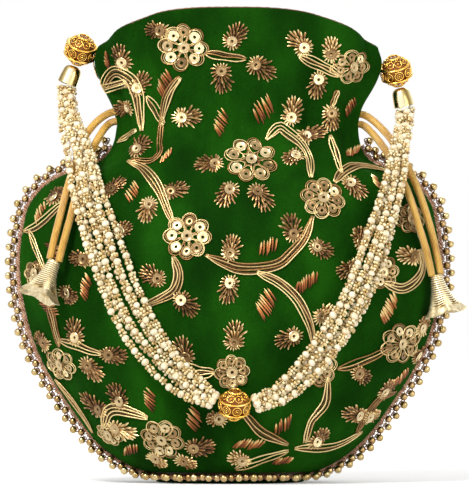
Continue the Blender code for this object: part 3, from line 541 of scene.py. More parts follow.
class Finish(Wiring):
    """A material and short ways to wire its pattern."""

    def __init__(self, name, roughness, metallic=0.0, **settings):
        self.material = bpy.data.materials.new(name)
        super().__init__(self.material)
        self.shader = self.tree.nodes["Principled BSDF"]
        settings.update(Roughness=roughness, Metallic=metallic)
        for key, value in settings.items():
            self.feed(self.shader.inputs[key.replace("_", " ")], value)

    def places(self, stretch=(1, 1, 1), source="Object"):
        made = self.add("Mapping", Vector=self.add("TexCoord").outputs[source], Scale=stretch)
        return made.outputs["Vector"]

    def speckle(self, scale, detail=2.0, stretch=(1, 1, 1), source="Object"):
        made = self.add("TexNoise", Vector=self.places(stretch, source), Scale=scale, Detail=detail)
        return made.outputs["Fac"]

    def bands(self, scale, direction, stretch=(1, 1, 1), source="Object", distortion=0.0):
        made = self.add("TexWave", Vector=self.places(stretch, source), Scale=scale,
                        Distortion=distortion)
        made.bands_direction = direction
        return made.outputs["Fac"]

    def tone(self):
        made = self.add("Attribute")
        made.attribute_name = "tone"
        return made.outputs["Fac"]

    def sum_of(self, a, b, share=1.0):
        scaled = self.add("Math")
        scaled.operation = "MULTIPLY_ADD"
        for socket, value in zip(scaled.inputs, (b, share, a)):
            self.feed(socket, value)
        return scaled.outputs[0]

    def relief(self, height, depth, strength=1.0):
        made = self.add("Bump", Height=height, Distance=depth, Strength=strength)
        self.feed(self.shader.inputs["Normal"], made.outputs["Normal"])

    def paint(self, color):
        self.feed(self.shader.inputs["Base Color"], color)


def velvet_finish():
    made = Finish("green_velvet", 0.85, Specular_IOR_Level=0.03, Sheen_Weight=0.06,
                  Sheen_Roughness=0.40, Sheen_Tint=(0.10, 0.80, 0.05, 1.0))
    pile = made.speckle(1500, 3)
    nap = made.speckle(38, 3, (1, 1, 0.55))
    both = made.sum_of(nap, pile, 0.30)
    made.paint(made.colors(both, (0.34, (0.0018, 0.0150, 0.0006)),
                           (0.58, (0.0038, 0.0350, 0.0010)), (0.84, (0.0090, 0.0720, 0.0024))))
    made.relief(made.sum_of(pile, nap, 0.6), 0.00035, 0.6)
    return made.material


def satin_finish(name, dark, light, roughness=0.42, scale=900):
    """Woven satin: fine slanted threads and soft uneven colour."""
    made = Finish(name, roughness, Sheen_Weight=0.25, Sheen_Roughness=0.35)
    threads = made.bands(scale, "DIAGONAL", distortion=1.5)
    cloud = made.speckle(60, 3)
    made.paint(made.colors(made.sum_of(cloud, threads, 0.25), (0.35, dark), (0.85, light)))
    made.relief(made.sum_of(threads, cloud, 0.6), 0.0002, 0.5)
    return made.material


def cord_finish():
    """Ochre satin tube: bias threads wind round it, with soft creases. Its colour runs from painted
    crease shade to painted highlight over the same pattern as the bumps.
    """
    made = Finish("ochre_satin_cord", 0.36, Sheen_Weight=0.35, Sheen_Roughness=0.3,
                  Coat_Weight=0.15, Coat_Roughness=0.4)
    threads = made.bands(1.0, "X", (5.0, 30, 1), "UV", 1.2)
    crease_bump_and_shade = made.speckle(1.0, 3, (4.0, 60, 1), "UV")
    # Colour follows the crease bumps: the low stop is painted shade brown, the middle is the cord's
    # own ochre, the high stop is painted highlight yellow
    made.paint(made.colors(made.sum_of(crease_bump_and_shade, threads, 0.30), (0.30, (0.25, 0.085, 0.008)),
                           (0.55, (0.58, 0.29, 0.034)), (0.82, (0.88, 0.56, 0.13))))
    made.relief(made.sum_of(crease_bump_and_shade, threads, 0.35), 0.0006, 0.8)
    return made.material


def metal_finish(name, low, middle, high, roughness=0.32, metallic=0.85, grain=900, tone=True):
    """Metal thread or foil whose colour follows each stitch's own tone."""
    made = Finish(name, roughness, metallic)
    worn = made.speckle(grain, 3)
    base = made.tone() if tone else made.speckle(220, 3)
    made.paint(made.colors(made.sum_of(base, worn, 0.30), (0.12, low), (0.58, middle), (1.0, high)))
    rough = made.add("MapRange", Value=worn, To_Min=max(roughness - 0.12, 0.05),
                     To_Max=roughness + 0.16)
    made.feed(made.shader.inputs["Roughness"], rough.outputs["Result"])
    made.relief(worn, 0.00012, 0.7)
    return made.material


def pearl_finish():
    made = Finish("pearl_cream", 0.24, Coat_Weight=0.6, Coat_Roughness=0.12)
    made.paint(made.colors(made.speckle(420, 2), (0.30, (0.64, 0.45, 0.21)),
                           (0.52, (0.86, 0.75, 0.51)), (0.75, (0.92, 0.87, 0.70))))
    return made.material


def lace_finish():
    made = Finish("rose_lace", 0.62, Sheen_Weight=0.1)
    threads = made.bands(420, "DIAGONAL", distortion=6.0)
    cloud = made.speckle(500, 3)
    made.paint(made.colors(made.sum_of(cloud, threads, 0.35), (0.35, (0.20, 0.065, 0.032)),
                           (0.62, (0.55, 0.26, 0.145)), (0.92, (0.80, 0.54, 0.34))))
    made.relief(made.sum_of(threads, cloud, 1.0), 0.0005, 1.0)
    return made.material


VELVET = velvet_finish()
LINING = satin_finish("rust_satin", (0.085, 0.020, 0.010), (0.26, 0.075, 0.034))
HEM = satin_finish("rust_hem", (0.07, 0.022, 0.010), (0.26, 0.10, 0.045), scale=1600)
OCHRE = cord_finish()
LACE = lace_finish()
BRASS = metal_finish("antique_brass", (0.13, 0.075, 0.022), (0.48, 0.34, 0.14), (0.80, 0.67, 0.38),
                     0.24, 1.0, 700, tone=False)
# The same brass beads, made darker: painted shade for the inner row of the edge
SHADED_BRASS = metal_finish("brass_bead_painted_shade", (0.10, 0.050, 0.018), (0.36, 0.22, 0.085),
                      (0.72, 0.54, 0.28), 0.28, 1.0, 700, tone=False)
POLISHED = metal_finish("polished_brass", (0.13, 0.075, 0.015), (0.66, 0.50, 0.19),
                        (1.0, 0.90, 0.58), 0.16, 1.0, 300)
FILIGREE = metal_finish("filigree_gold", (0.46, 0.18, 0.022), (0.88, 0.50, 0.080),
                        (1.0, 0.78, 0.26), 0.20, 1.0, 900, tone=False)
WIRE = metal_finish("gold_wire", (0.050, 0.018, 0.006), (0.34, 0.175, 0.055), (0.88, 0.68, 0.32),
                    0.36, 0.72)
COPPER = metal_finish("copper_wire", (0.085, 0.022, 0.006), (0.42, 0.145, 0.040),
                      (0.88, 0.64, 0.27), 0.36, 0.72)
SEQUIN = metal_finish("sequin_foil", (0.10, 0.052, 0.020), (0.33, 0.205, 0.085),
                      (0.90, 0.74, 0.42), 0.30, 0.75, 300)
# Near-black orange-brown shell inside the filigree: painted shade of the hollow ball's inside
SHADE_SHELL = metal_finish("filigree_painted_shade", (0.045, 0.012, 0.003), (0.20, 0.070, 0.012),
                    (0.42, 0.17, 0.030), 0.5, 0.6, 900, tone=False)
LOOP = metal_finish("edge_thread", (0.045, 0.020, 0.010), (0.24, 0.115, 0.060),
                    (0.55, 0.36, 0.20), 0.5, 0.3, 900, tone=False)
PEARL = pearl_finish()
SEED = metal_finish("champagne_seed", (0.33, 0.17, 0.050), (0.70, 0.51, 0.21),
                    (0.94, 0.83, 0.54), 0.26, 0.2, 260)
SILVER = metal_finish("pale_gold_thread", (0.09, 0.055, 0.018), (0.50, 0.37, 0.17),
                      (0.93, 0.84, 0.58), 0.36, 0.7, 1200)


# Camera: far away and nearly level, 0.48 mm for each pixel
def set_camera():
    lens = bpy.data.cameras.new("photo_camera")
    lens.sensor_width = 36
    lens.lens = 900
    lens.clip_end = 20
    camera = put("photo_camera", lens)
    away = Vector((0, -cos(CAMERA_LIFT), sin(CAMERA_LIFT)))
    camera.location = CAMERA_AIM + away * CAMERA_DISTANCE
    camera.rotation_euler = (pi / 2 - CAMERA_LIFT, 0, 0)
    bpy.context.scene.camera = camera


# Pearl strands
def strand_offsets(share, index, tight):
    """Place of one strand in its bundle: a ring at both ends, a flat row between."""
    turn = radians((210, 150, 90, 270, 30, 330)[index])
    ring = (STRAND_RING_RADIUS * cos(turn), STRAND_RING_RADIUS * sin(turn))
    wide = blend(0.58, 1.0, smooth((share - 0.10) / 0.5)) - 0.36 * smooth((share - 0.70) / 0.28)
    row_side = (index - (STRANDS_PER_SIDE - 1) / 2) * STRAND_SPACING * wide * tight
    row_side += 0.0008 * sin(2 * pi * (1.6 * share + index * 0.37))
    row_out = 0.0015 * (1 if index % 2 else -0.8)
    from_end = min(share, 1.8 * (1 - share))
    spread = smooth(from_end / 0.16)
    return blend(ring[0], row_side, spread), blend(ring[1], row_out, spread)


def strand_route(bundle, index, ball, tight, count=16):
    line = spaced_curve(bundle, count)
    belly = Vector((0, 0, BELLY_Z))
    route = []
    for i, point in enumerate(line):
        along = (line[min(i + 1, count - 1)] - (line[i - 1] if i else ball)).normalized()
        out = point - belly
        out = (out - along * out.dot(along)).normalized()
        face = TO_FRONT * 0.75 + out * 0.25
        face = (face - along * face.dot(along)).normalized()
        side = along.cross(face).normalized()
        a, b = strand_offsets(i / (count - 1), index, tight)
        route.append(point + side * a + face * b)
    return route


def thread_place(line, share):
    """Point of a fine line, with the directions along it and across it."""
    k = min(int(share * (LINE_STEPS - 1)), LINE_STEPS - 2)
    along = (line[k + 1] - line[k]).normalized()
    return line[k], along, along.cross(TO_FRONT).normalized()


def thread_strand(pearl, seed, line, length):
    """Parts of one strand: thread, pearls, and rounds of small beads between them."""
    thread = make_tube("thread", line[::6] + [line[-1]], THREAD_RADIUS, 6)
    thread.data.materials.append(SEED)
    give_tone(thread, 0.3)
    parts = [thread]
    squash = Matrix.Diagonal((1, 1, 0.94, 1))
    place = -0.0010 - 0.0050 * dice.random()
    while place < length - 0.001:
        point, along, aside = thread_place(line, max(place, 0) / length)
        spot = point + aside * dice.uniform(-0.0004, 0.0004)
        size = PEARL_RADIUS * dice.uniform(0.86, 1.12)
        if place > 0.0016:
            parts.append(copy_at(pearl, facing(along, spot, 0, size) @ squash))
        step = PEARL_PITCH * dice.uniform(0.82, 1.22)
        gap = step - 2 * PEARL_RADIUS
        rounds = max(2, int(gap / SEED_PITCH))
        for s in range(rounds):
            spot = place + PEARL_RADIUS + gap * (s + 0.5) / rounds
            if spot > length - 0.0008:
                break
            if spot < 0.0004:
                continue
            point, along, aside = thread_place(line, spot / length)
            face = aside.cross(along)
            for n in range(4):
                turn = 2 * pi * (n / 4 + dice.random() * 0.2) + s
                away = (aside * cos(turn) + face * sin(turn)) * SEED_REACH
                size = dice.uniform(0.00070, 0.00092)
                parts.append(copy_at(seed, facing(along, point + away, turn, size),
                                     dice.uniform(0.15, 1.0)))
        place += step
    end = facing(line[-1] - line[-3], line[-3], 0, END_PEARL_RADIUS)
    return parts + [copy_at(pearl, end)]


def make_strands():
    """Twelve strands of pearls with small champagne beads threaded between them."""
    pearl, seed = bead_form("pearl", 2, PEARL), bead_form("seed_bead", 1, SEED)
    for side, bundle in BUNDLES.items():
        for index in range(STRANDS_PER_SIDE):
            route = strand_route(bundle, index, BALLS[side], BUNDLE_WIDTHS[side])
            line = spaced_curve(route, LINE_STEPS)
            length = run_lengths(line)[-1]
            tail = "_%s_%d" % (side, index + 1)
            strand = join_pieces("pearls" + tail, thread_strand(pearl, seed, line, length))
            dress(strand, None, "handle", ["pearl_strand" + tail])
            [tuple(p) for p in spaced_curve(route, 40)]
    drop(pearl, seed)


# Drawstrings and tassels
def make_bell(side, top, axis):
    """Hollow bell of thread wound round and round, with a wavy, flared hem."""
    outline = ((0.0, 0.0028), (0.12, 0.0031), (0.30, 0.0037), (0.50, 0.0048), (0.70, 0.0063),
               (0.85, 0.0079), (1.0, 0.0099))
    profile = [(0.0011, 0.0006), (0.0024, 0.0007)]
    steps = 3 * TASSEL_WINDINGS
    for k in range(steps + 1):
        share = 0.78 * k / steps
        raised = TASSEL_GROOVE if k % 3 else -0.00022
        profile.append((read_shape(outline, share) + raised, -TASSEL_LENGTH * share))
    profile += [(read_shape(outline, s), -TASSEL_LENGTH * s) for s in (0.84, 0.90, 0.95, 0.985)]
    profile += [(0.0101, -0.0184), (0.0094, -0.0181)]
    profile += [(read_shape(outline, s) - 0.0007, -TASSEL_LENGTH * s - 0.0002)
                for s in (0.85, 0.70, 0.50, 0.30, 0.12)]
    profile.append((0.0011, -0.0008))
    bell = turned_piece("bell_" + side, profile, 60, ring=True)
    for vertex in bell.data.vertices:
        spot = vertex.co
        radius, turn = hypot(spot.x, spot.y), atan2(spot.y, spot.x)
        down = smooth(-spot.z / TASSEL_LENGTH)
        rib = 0.00022 * cos(30 * turn) * smooth((radius - 0.0075) / 0.0015)
        wave = down ** 3 * (0.0007 * sin(5 * turn + 1.2) + 0.0004 * sin(9 * turn))
        lean = 1 + (rib + wave) / max(radius, 1e-5)
        vertex.co = (spot.x * lean, spot.y * lean,
                     spot.z + down * down * (0.0007 * sin(4 * turn + 0.6)))
    # Tones: painted shade in the grooves between windings and painted highlight on the raised
    # windings, with a little random variation
    tones = []
    for vertex in bell.data.vertices:
        share = -vertex.co.z / TASSEL_LENGTH
        lift = hypot(vertex.co.x, vertex.co.y) - read_shape(outline, min(max(share, 0), 1))
        wound = 0.0 if share > 0.79 else lift / TASSEL_GROOVE
        tones.append(min(max(0.62 + 0.5 * wound + dice.uniform(-0.12, 0.12), 0.0), 1.0))
    set_tones(bell, tones)
    bell.data.transform(facing(axis, top))
    neck = ring_form("tassel_wrap", 0.0026, 0.0005, 32, 8)
    wraps = [copy_at(neck, facing(axis, top - axis.normalized() * h)) for h in (-0.0002, 0.0006)]
    drop(neck)
    bell = join_pieces("bell_" + side, [bell] + wraps)
    return dress(bell, SILVER, "bag", ["tassel_" + side])


def make_drawstrings():
    bells = {side: make_bell(side, top, axis) for side, (top, axis) in TASSELS.items()}
    for name, knots in TAILS.items():
        route = spaced_curve(knots, 90)
        side, which = name.split("_")
        tail = make_tube("satin_tail_" + name, route, CORD_DIAMETER / 2, 14,
                         lambda d: 1 + 0.05 * noise.noise(Vector((d * 260, len(side), 2))))
        dress(tail, OCHRE, "bag", ["drawstring_tail_" + name])
    for side in ("left", "right"):
        loop = frame["nodes"]["drawstring_loop_" + side]
        loop.data.materials.clear()
        loop.data.materials.append(HEM)


# Velvet body
def belly_half_width(z):
    spread = FOOT_SPREAD * smooth((FOOT_TOP_Z - z) / FOOT_TOP_Z)
    radius = SEAM_RADIUS + spread
    return sqrt(max(radius ** 2 - (z - SEAM_CENTER_Z) ** 2, 1e-8))


def half_width(z, side):
    if z <= SHOULDER_Z:
        return belly_half_width(z)
    neck = NECK_HALF_RIGHT if side > 0 else NECK_HALF_LEFT
    share = min((z - SHOULDER_Z) / (NECK_Z - SHOULDER_Z), 1.0)
    return blend(neck, belly_half_width(SHOULDER_Z), read_shape(SHOULDER_SHAPE, share))


def half_depth(z):
    if z <= BELLY_Z:
        share = 1 - ((BELLY_Z - z) / BELLY_Z) ** 2.2
        return blend(BASE_HALF_DEPTH, BELLY_HALF_DEPTH, sqrt(max(share, 0.0)))
    share = min((z - BELLY_Z) / (NECK_Z - BELLY_Z), 1.0)
    return blend(NECK_HALF_DEPTH, BELLY_HALF_DEPTH, (1 - share ** 2.4) ** 1.3)


def pinch(z):
    if z <= BELLY_Z:
        return blend(1.0, 1.4, smooth(z / BELLY_Z))
    return blend(1.4, 1.15, smooth((z - BELLY_Z) / (NECK_Z - BELLY_Z)))


def mouth_top(angle):
    return MOUTH_TOP_Z - MOUTH_SIDE_DROP * abs(cos(angle)) ** 3.2


def gather_wave(angle, drift):
    """Soft uneven folds of the gathers, none at the side seams."""
    turns = angle / pi * FOLDS_PER_PANEL
    turns += 0.10 * sin(2 * angle) * drift + 0.09 * sin(6 * angle)
    soft = 0.5 - 0.5 * cos(2 * pi * turns)
    return soft ** 0.8 * (0.80 + 0.20 * sin(3 * angle + 1))


def crumple(angle, z, rise):
    """Outward push of folds, gathers and soft dents at one place of the cloth."""
    edge = smooth(abs(sin(angle)) / 0.16)
    side = 0.25 + 0.75 * smooth(abs(sin(angle)) / 0.55)
    if rise is None:
        down = smooth((z - 0.116) / (NECK_Z - 0.116))
        push = FOLD_DEPTH * down ** 1.3 * gather_wave(angle, 1 - down) * side
        tight = smooth((z - 0.140) / 0.028)
        level = z * 22
    else:
        push = FOLD_DEPTH * blend(1.0, 0.75, rise) * gather_wave(angle, rise) * side
        tight = 1 - smooth(rise * 2.2)
        level = NECK_Z * 22 + rise * 1.2
    push += 0.0006 * tight * edge * sin(29 * angle + 3 * sin(4 * angle))
    way = Vector((3.2 * cos(angle), 3.2 * sin(angle), level))
    push += edge * (0.0011 * noise.noise(way) + 0.0005 * noise.noise(way * 2.7))
    return max(push, -0.0009)


def cloth_point(angle, z=None, rise=None, inset=0.0, folds=1.0):
    """Point of the outer cloth below the neck at height z, or in the mouth at rise 0 to 1."""
    if rise is None:
        left, right = half_width(z, -1), half_width(z, 1)
        depth, power = half_depth(z), pinch(z)
        push = crumple(angle, z, None)
    else:
        flare = MOUTH_FLARE * read_shape(MOUTH_SHAPE, rise)
        left, right = NECK_HALF_LEFT + flare, NECK_HALF_RIGHT + flare
        depth, power = blend(NECK_HALF_DEPTH, MOUTH_HALF_DEPTH, smooth(rise)), pinch(NECK_Z)
        push = crumple(angle, None, rise)
        z = blend(NECK_Z, mouth_top(angle), rise)
    cosine, sine = cos(angle), sin(angle)
    width = (right if cosine > 0 else left) - inset
    depth -= inset
    out = Vector((cosine * depth, -sine * width, 0)).normalized()
    y = -depth * copysign(abs(sine) ** power, sine)
    return Vector((width * cosine, y, z)) + out * (push * folds)


def panel_edge(z, side):
    """Angle at which a panel ends at the seam. Side is 1 in front, -1 behind."""
    half = SEAM_GAP / 2
    drop_by = SEAM_CURVE_TOP_Z - SEAM_BOTTOM_Z - half * side
    turn = asin(min(max((SEAM_CURVE_TOP_Z - z) / drop_by, 0.0), 1.0))
    y = -SEAM_CURVE_DEPTH * (1 - cos(turn)) - half * side * cos(turn)
    share = min(abs(y) / half_depth(z), 0.9999)
    return copysign(asin(share ** (1 / pinch(z))), -y)


def grid_faces(rows, columns):
    faces = []
    for r in range(rows - 1):
        for c in range(columns - 1):
            a = r * columns + c
            faces.append((a + columns, a + columns + 1, a + 1, a))
    return faces


def ring_faces(rows, columns):
    """Faces between rows of points that each go all the way round."""
    return [(r + c, r + (c + 1) % columns, r + columns + (c + 1) % columns, r + columns + c)
            for r in range(0, (rows - 1) * columns, columns) for c in range(columns)]


def panel_points(side, columns, rows, mouth_rows):
    """Rows of points of one panel, from the foot up to the mouth."""
    lowest = SEAM_BOTTOM_Z + SEAM_GAP / 2 * side
    points = []
    for r in range(rows):
        z = blend(lowest, NECK_Z, (r / rows) ** 1.35)
        first = panel_edge(z, side)
        if side > 0:
            angles = [blend(first, pi - first, c / (columns - 1)) for c in range(columns)]
        else:
            angles = [blend(pi - first, 2 * pi + first, c / (columns - 1))
                      for c in range(columns)]
        points += [cloth_point(a, z=z) for a in angles]
    for r in range(mouth_rows):
        rise = r / (mouth_rows - 1)
        first = panel_edge(NECK_Z, side)
        for c in range(columns):
            angle = blend(first, pi - first, c / (columns - 1))
            points.append(cloth_point(angle + (pi if side < 0 else 0.0), rise=rise))
    return points


def foot_points(columns, extra):
    """Rows that carry the back panel round under the foot to its middle."""
    z = SEAM_BOTTOM_Z - SEAM_GAP / 2
    first = panel_edge(z, -1)
    behind = [blend(pi - first, 2 * pi + first, c / (columns - 1))
              for c in range(columns)]
    ahead = [blend(first, pi - first, c / extra) for c in range(1, extra)]
    angles = behind + ahead
    rows = []
    for level, size in ((z, 1.0), (0.0003, 0.985), (0.0, 0.95), (0.0, 0.7), (0.0, 0.4),
                        (0.0, 0.12)):
        spots = [cloth_point(angle, z=z, folds=1.0 if size == 1 else 0.0) for angle in angles]
        rows.append([Vector((spot.x * size, spot.y * size, level)) for spot in spots])
    return rows


def make_velvet():
    """Front and back panels as cut cloth, gathered at the neck, and their outer faces."""
    faces_of = {}
    for name, side, columns, rows, mouth_rows in (("front", 1, 189, 104, 40),
                                                  ("back", -1, 169, 92, 34)):
        points = panel_points(side, columns, rows, mouth_rows)
        faces = grid_faces(rows + mouth_rows, columns)
        if side < 0:
            for row in foot_points(columns, 60):
                last, first, count = len(points) - len(row), len(points), len(row)
                points += row
                if row[0].z < 0.0009:
                    faces += [(last + a, last + b, first + b, first + a)
                              for a, b in zip(range(count), [*range(1, count), 0])]
            faces.append(tuple(range(len(points) - count, len(points))))
        faces_of[name] = BVHTree.FromPolygons(points, faces)
        panel = mesh_piece("velvet_" + name, points, faces)
        edit_all(panel, bpy.ops.mesh.remove_doubles, threshold=0.00002)
        thicken(panel, VELVET_THICKNESS)
        dress(panel, VELVET, "bag", [name + "_panel"])
    return faces_of


def make_lining():
    """Rust satin inner bag, closed at the bottom, and the rolled hem round the mouth."""
    columns, points = 120, []
    for r in range(46):
        z = blend(0.004, NECK_Z, (r / 46) ** 1.2)
        inset = blend(0.0045, LINING_INSET + 0.009, smooth((z - 0.135) / 0.03))
        points += [cloth_point(2 * pi * c / columns, z=z, inset=inset, folds=0.25)
                   for c in range(columns)]
    for r in range(21):
        rise = r / 20 * 0.975
        inset = blend(LINING_INSET + 0.009, 0.0021, smooth((rise - 0.30) / 0.55))
        folds = blend(0.25, 1.0, smooth((rise - 0.35) / 0.5))
        points += [cloth_point(2 * pi * c / columns, rise=rise, inset=inset, folds=folds)
                   for c in range(columns)]
    faces = ring_faces(len(points) // columns, columns) + [tuple(range(columns))]
    lining = mesh_piece("satin_lining", points, faces)
    edit_all(lining, bpy.ops.mesh.normals_make_consistent, inside=False)
    thicken(lining, LINING_THICKNESS)
    dress(lining, LINING, "bag", ["lining"])
    route = [cloth_point(2 * pi * c / 240, rise=1.0, inset=0.0007) for c in range(241)]
    hem = make_tube("mouth_hem", route, HEM_RADIUS, 8, lambda d: 1 + 0.15 * sin(d * 2200))
    dress(hem, HEM)


# Beaded edge
def seam_path(count):
    """Evenly spaced seam points, each with its direction along, across and out of the seam."""
    curve = []
    for i in range(1, 9):
        turn = pi / 2 * i / 8
        y = -SEAM_CURVE_DEPTH * (1 - cos(turn))
        z = SEAM_CURVE_TOP_Z - (SEAM_CURVE_TOP_Z - SEAM_BOTTOM_Z) * sin(turn)
        sine = min(abs(y) / half_depth(z), 0.999) ** (1 / pinch(z))
        curve.append((belly_half_width(z) * sqrt(1 - sine * sine), y, z, turn))
    side_z = [blend(LACE_TOP_Z, SEAM_CURVE_TOP_Z, i / 60) for i in range(61)]
    rough = [(Vector((-half_width(z, -1), 0, z)), 0.0) for z in side_z]
    rough += [(Vector((-x, y, z)), turn) for x, y, z, turn in curve]
    last_x, _, z, turn = curve[-1]
    for i in range(1, 12):
        x = blend(-last_x, last_x, i / 12)
        sine = sqrt(1 - (x / belly_half_width(z)) ** 2)
        rough.append((Vector((x, -half_depth(z) * sine ** pinch(z), z)), pi / 2))
    rough += [(Vector((x, y, z)), turn) for x, y, z, turn in reversed(curve)]
    rough += [(Vector((half_width(z, 1), 0, z)), 0.0) for z in reversed(side_z)]
    lengths = run_lengths([point for point, _ in rough])
    spans = [(rough[k], rough[k + 1], t) for k, t in even_places(lengths, count)]
    path = [a[0].lerp(b[0], t) for a, b, t in spans]
    framed = []
    for i, (a, b, t) in enumerate(spans):
        turn = blend(a[1], b[1], t)
        along = direction_at(path, i, max(2, count // 60))
        across = Vector((0, -cos(turn), sin(turn)))
        across = (across - along * across.dot(along)).normalized()
        framed.append((path[i], along, across, along.cross(across).normalized()))
    return framed, lengths[-1]


def make_edge():
    """Rose lace strip in the seam, with a zig-zag of brass beads and thread loops on it."""
    framed, length = seam_path(STRIP_STEPS)
    pitch = length / EDGE_PITCHES
    points = []
    for i, (point, along, across, out) in enumerate(framed):
        place = length * i / (STRIP_STEPS - 1)
        scallop = 0.0018 + 0.0005 * cos(4 * pi * place / pitch)
        sway = 0.00035 * sin(place * 900) + 0.0003 * sin(place * 233)
        for o, a in ((-0.0012, -1), (0.0010, -1.3), (scallop, -0.7), (scallop, 0.7),
                     (0.0010, 1.3), (-0.0012, 1)):
            spot = point + out * o + across * (a * STRIP_HALF_WIDTH + sway)
            spot.z = max(spot.z, 0.0008 + 0.0002 * (a + 1))
            points.append(spot)
    ends = [tuple(range(5, -1, -1)), tuple(range(len(points) - 6, len(points)))]
    strip = mesh_piece("lace_strip", points, ring_faces(STRIP_STEPS, 6) + ends)
    edit_all(strip, bpy.ops.mesh.normals_make_consistent, inside=False)
    strip.data.materials.append(LACE)
    bead, loop = bead_form("edge_bead"), ring_form("thread_loop", 0.0010, 0.00028, 10, 4, LOOP)
    framed, _ = seam_path(2 * EDGE_PITCHES + 1)
    beads, loops = {0: [], 1: []}, [strip]
    for i, (point, along, across, out) in enumerate(framed):
        row = i % 2
        offset = EDGE_ROW_REACH[row]
        middle = point + out * offset + across * dice.uniform(-0.0002, 0.0002)
        middle.z = max(middle.z, 0.0024 if row == 0 else 0.0030)
        size = EDGE_BEAD_RADIUS * dice.uniform(0.94, 1.04)
        beads[row].append(copy_at(bead, facing(out, middle, dice.random() * 3, size)))
        turn = Matrix((along, out, across)).transposed().to_4x4()
        for shift, drawn_in in ((0.0, 0.0016), (0.16, 0.0014), (-0.16, 0.0014)):
            spot = middle + along * (pitch * shift) - out * drawn_in
            spot.z = max(spot.z, 0.0024)
            tilt = Matrix.Rotation(dice.uniform(-0.5, 0.5), 4, (1, dice.uniform(-1, 1), 0))
            loops.append(copy_at(loop, Matrix.Translation(spot) @ turn @ tilt))
    # The inner row gets the darker brass: painted shade between the outer beads and the seam
    for row, where, finish in ((0, "outer", BRASS), (1, "inner", SHADED_BRASS)):
        dress(join_pieces("brass_beads_" + where, beads[row]), finish, "bag",
              ["edge_beads_" + where])
    dress(join_pieces("lace_and_loops", loops), None, "bag", ["edge_lace"])
    drop(bead, loop)


# Embroidery
class Ground:
    """The velvet under the embroidery, front or back."""

    def __init__(self, tree, back):
        self.tree = tree
        self.back = back
        self.way = Vector((0, -1, 0)) if back else Vector((0, 1, 0))

    def spot(self, across, up):
        """Point and outward normal at a place given in hundredths of the seam radius."""
        x = SEAM_RADIUS / 100 * (-across if self.back else across)
        z = SEAM_CENTER_Z + up * SEAM_RADIUS / 100
        point, normal, _, _ = self.tree.ray_cast(Vector((x, 0, z)) - self.way * 0.2, self.way)
        if point is None:
            point, normal, _, _ = self.tree.find_nearest(Vector((x, 0, z)) - self.way * 0.03)
        if normal.dot(self.way) > 0:
            normal = -normal
        return point, normal

    def frame(self, across, up):
        point, normal = self.spot(across, up)
        right = Vector((0, 0, 1)).cross(normal).normalized()
        right = -right if self.back == (right.x > 0) else right
        top = normal.cross(right).normalized()
        if top.z < 0:
            top = -top
        wider = min(1 / max(abs(right.x), 0.1), 1.45)
        return point, right * wider, top, normal
    def touch(self, frame, u, v):
        """Point of the velvet u and v away from a motif's middle, and its normal there."""
        point, right, top, normal = frame
        start = point + right * u + top * v + normal * DRAPE_HEIGHT
        hit, face, _, _ = self.tree.ray_cast(start, -normal, 0.03)
        if hit is None:
            hit, face, _, _ = self.tree.find_nearest(start - normal * DRAPE_HEIGHT)
        return hit, -face if face.dot(normal) < 0 else face

    def lay(self, piece, across, up):
        """Drape a flat piece, drawn round the origin in X and Y, onto the velvet."""
        frame = self.frame(across, up)
        for vertex in piece.data.vertices:
            u, v, h = vertex.co
            hit, face = self.touch(frame, u, v)
            vertex.co = hit + (face * 0.6 + frame[3] * 0.4).normalized() * (h + 0.00015)
        return piece


def stitch_forms():
    """Templates: sequin, petal loop and one satin stitch, drawn at full size."""
    sequin = turned_piece("sequin", [(0.00078, 0.0001), (0.00105, 0.0004), (0.0021, 0.00026),
                                     (0.0027, 0.00062), (0.0030, 0.00036), (0.0028, 0.00002)],
                          12, ring=True)
    loop = ring_form("petal_loop", 1.0, 0.062, 18, 4)
    for vertex in loop.data.vertices:
        narrow = 0.62 + 0.38 * smooth((vertex.co.x + 1.1) / 1.5)
        vertex.co.y *= 0.62 * narrow
    stitch = turned_piece("stitch", [(0.00006, 0.0), (0.00030, 0.16), (0.00034, 0.5),
                                     (0.00028, 0.84), (0.00005, 1.0)], 5)
    stitch.data.transform(Matrix.Rotation(pi / 2, 4, "Y"))
    return sequin, loop, stitch


def flat_stitch(stitch, ground, spot, start, angle, length, tone, width=1.0):
    """One stitch at its place in a motif, laid on the velvet."""
    place = (Matrix.Translation((start[0], start[1], 0.0003)) @ Matrix.Rotation(angle, 4, "Z")
             @ Matrix.Diagonal((length, width, width, 1)))
    piece = copy_at(stitch, place, None)
    ends = [dice.uniform(-0.05, 0.05) for _ in piece.data.vertices]
    set_tones(piece, [min(max(blend(tone - 0.30, tone + 0.50, v.co.x ** 2) + end, 0), 1)
                      for v, end in zip(stitch.data.vertices, ends)])
    return ground.lay(piece, *spot)


def set_sequin(sequin, ground, spot, offset, tone, lift=0.0005, size=1.0):
    """A sequin sits flat on its stitches, tipped a little at random."""
    frame = ground.frame(*spot)
    hit, face = ground.touch(frame, *offset)
    tip = face + frame[1] * dice.uniform(-0.16, 0.16) + frame[2] * dice.uniform(-0.16, 0.16)
    return copy_at(sequin, facing(tip, hit + face * lift, dice.random() * 3, size), tone)


